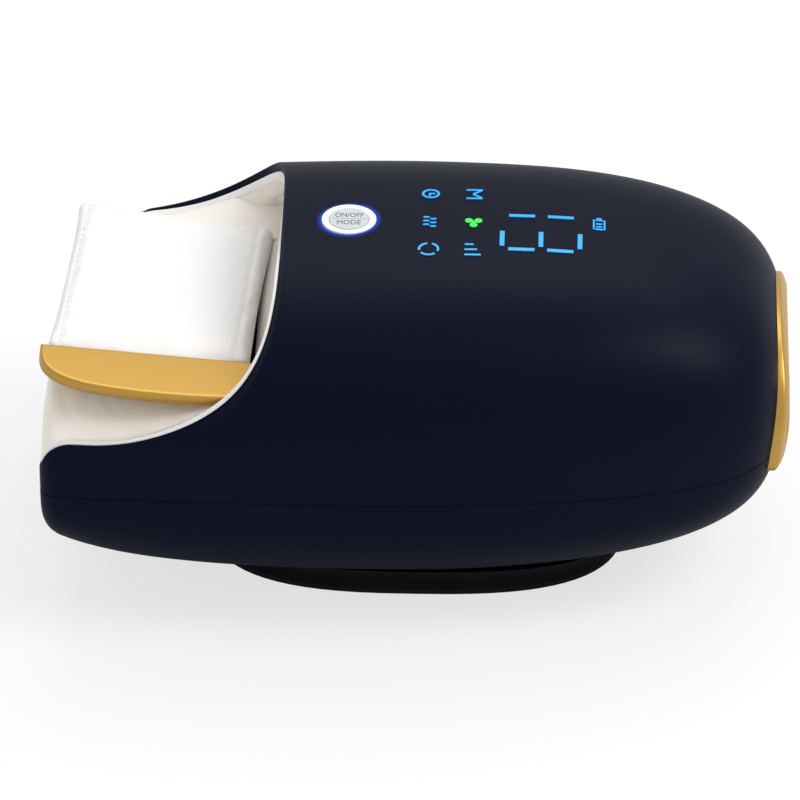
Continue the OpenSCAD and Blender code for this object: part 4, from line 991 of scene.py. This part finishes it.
tilted = np.stack([THUMB_MID + pts[:, 0] * c + pts[:, 2] * s, pts[:, 1],
                   THUMB_Z - pts[:, 0] * s + pts[:, 2] * c], -1)
thumb = build("thumb_plate", tilted, faces)
finish(thumb, LOOKS["gold_metal"], replaces=["thumb_rest"])

# ---------- Rear trim ----------
# Its profile: how far inside the outline, and how far out of the shell. It gets flatter towards its top.
TRIM = [(0.0, -0.6), (0.0, 2.0), (0.12, 2.45), (0.45, 2.8), (1.0, 2.98), (3.0, 3.0), (5.0, 2.98), (5.55, 2.8),
        (5.88, 2.45), (6.0, 2.0), (6.0, -1.6)]
rows = []
for k, h in TRIM:
    sill = np.linspace(-(ARCH_W - k), ARCH_W - k, 60)[1:-1]
    o = np.concatenate([arch(k, 161), np.stack([sill, np.full(len(sill), PART - ARCH_LOW + k)], -1)])
    x = station_of(o[:, 0], o[:, 1])[0]
    if h > 0:
        h = h * (0.4 + 0.6 * (1 - ease((o[:, 1] - 66) / 26)))
    rows.append(slant(np.stack([x + lean(x, o[:, 1] - PART) + h, o[:, 0], o[:, 1]], -1)))
faces = grid_faces(len(rows), len(rows[0]), wrap_cols=True, flip=True)
trim = build("vent_trim", np.concatenate(rows), faces)
finish(trim, LOOKS["gold_metal"], replaces=["rear_trim"])


# ---------- Split button and its lettering ----------
def letters(name, text, wide, tall, y, body):
    """Printed letters on the button's top, wide by tall millimetres, with their middle at y."""
    curve = bpy.data.curves.new(name, "FONT")
    curve.body = text
    curve.align_x = "CENTER"
    curve.align_y = "CENTER"
    curve.size = 0.004
    curve.extrude = 0.00002
    text_ob = bpy.data.objects.new(name, curve)
    scene.collection.objects.link(text_ob)
    me = evaluated_mesh(text_ob)
    bpy.data.objects.remove(text_ob)
    ob = bpy.data.objects.new(name, me)
    scene.collection.objects.link(ob)
    co = np.array([v.co for v in me.vertices])
    low, high = co.min(0), co.max(0)
    scale = np.array([wide / 1000 / (high[0] - low[0]), tall / 1000 / (high[1] - low[1]), 1])
    key_top = float(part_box("power_button")[1].z)
    co = (co - (low + high) / 2) * scale + [BUTTON_AT[0] / 1000, y / 1000, key_top + 0.00002]
    me.vertices.foreach_set("co", co.ravel())
    me.update()
    return finish(ob, LETTER, body)


letters("on_off_letters", "ON/OFF", 9.0, 2.5, 2.1, "power_key")
letters("mode_letters", "MODE", 7.6, 2.5, -2.3, "mode_key")
for name, mat in (("button_ring", LIT_WHITE), ("power_button", KEY_GREY), ("mode_button", KEY_GREY)):
    data = frame["nodes"][name].data
    data.materials.clear()
    data.materials.append(mat)


# ---------- Stage, light, camera ----------
def ray_share(tree, ray, amount):
    """A mix shader whose second input counts by that amount on rays of that kind."""
    sight = tree.nodes.new("ShaderNodeLightPath")
    scaled = tree.nodes.new("ShaderNodeMath")
    scaled.operation = "MULTIPLY"
    scaled.inputs[1].default_value = amount
    mix = tree.nodes.new("ShaderNodeMixShader")
    tree.links.new(sight.outputs[ray], scaled.inputs[0])
    tree.links.new(scaled.outputs[0], mix.inputs[0])
    return mix


def emission(tree, strength):
    node = tree.nodes.new("ShaderNodeEmission")
    node.inputs["Strength"].default_value = strength
    return node


def lamp(name, at, aim, wide, tall, watts):
    data = bpy.data.lights.new(name, "AREA")
    data.shape = "RECTANGLE"
    data.size, data.size_y = wide, tall
    data.energy = watts
    ob = bpy.data.objects.new(name, data)
    scene.collection.objects.link(ob)
    ob.location = at
    ob.rotation_euler = (Vector(aim) - Vector(at)).to_track_quat("-Z", "Y").to_euler()


bpy.ops.mesh.primitive_plane_add(size=9, location=(0, 0, 0))
floor = bpy.context.object
floor.name = "floor"
paper = material("paper", (255, 255, 255), rough=0.9, spec=0.0, grain=2.0, bump=0.0, vary=0.0)
floor.data.materials.append(paper)
tree = paper.node_tree
seen_white = ray_share(tree, "Is Camera Ray", 0.7)
tree.links.new(tree.nodes["Principled BSDF"].outputs[0], seen_white.inputs[1])
tree.links.new(emission(tree, 1.0).outputs[0], seen_white.inputs[2])
dim_in_gloss = ray_share(tree, "Is Glossy Ray", 0.3)
tree.links.new(seen_white.outputs[0], dim_in_gloss.inputs[1])
tree.links.new(emission(tree, 0.0).outputs[0], dim_in_gloss.inputs[2])
tree.links.new(dim_in_gloss.outputs[0], tree.nodes["Material Output"].inputs["Surface"])

lamp("back_box", (0.25, 1.15, 1.75), (0, 0, 0.05), 1.6, 1.0, 11)
lamp("shoulder_box", (1.2, -0.35, 1.45), (0.05, 0, 0.05), 0.8, 0.8, 14)

world = bpy.data.worlds.new("studio")
scene.world = world
world.use_nodes = True
tree = world.node_tree
light = tree.nodes["Background"]
light.inputs["Color"].default_value = (1, 1, 1, 1)
light.inputs["Strength"].default_value = 0.66
backdrop = tree.nodes.new("ShaderNodeBackground")
backdrop.inputs["Color"].default_value = (1, 1, 1, 1)
backdrop.inputs["Strength"].default_value = 1.0
pick = ray_share(tree, "Is Camera Ray", 1.0)
tree.links.new(light.outputs[0], pick.inputs[1])
tree.links.new(backdrop.outputs[0], pick.inputs[2])
tree.links.new(pick.outputs[0], tree.nodes["World Output"].inputs["Surface"])
scene.view_settings.view_transform = "Standard"

CAMERA_AT = (50.767, -2138.498, 1443.26)
CAMERA_DOWN, CAMERA_TURN = 33.1504, 1.51495  # degrees below the horizon, and to the left of +Y
camera_data = bpy.data.cameras.new("camera")
camera_data.lens = 355.83
camera_data.sensor_width = 36
camera = bpy.data.objects.new("camera", camera_data)
scene.collection.objects.link(camera)
camera.location = [c / 1000 for c in CAMERA_AT]
camera.rotation_euler = (math.radians(90 - CAMERA_DOWN), 0, math.radians(CAMERA_TURN))
scene.camera = camera
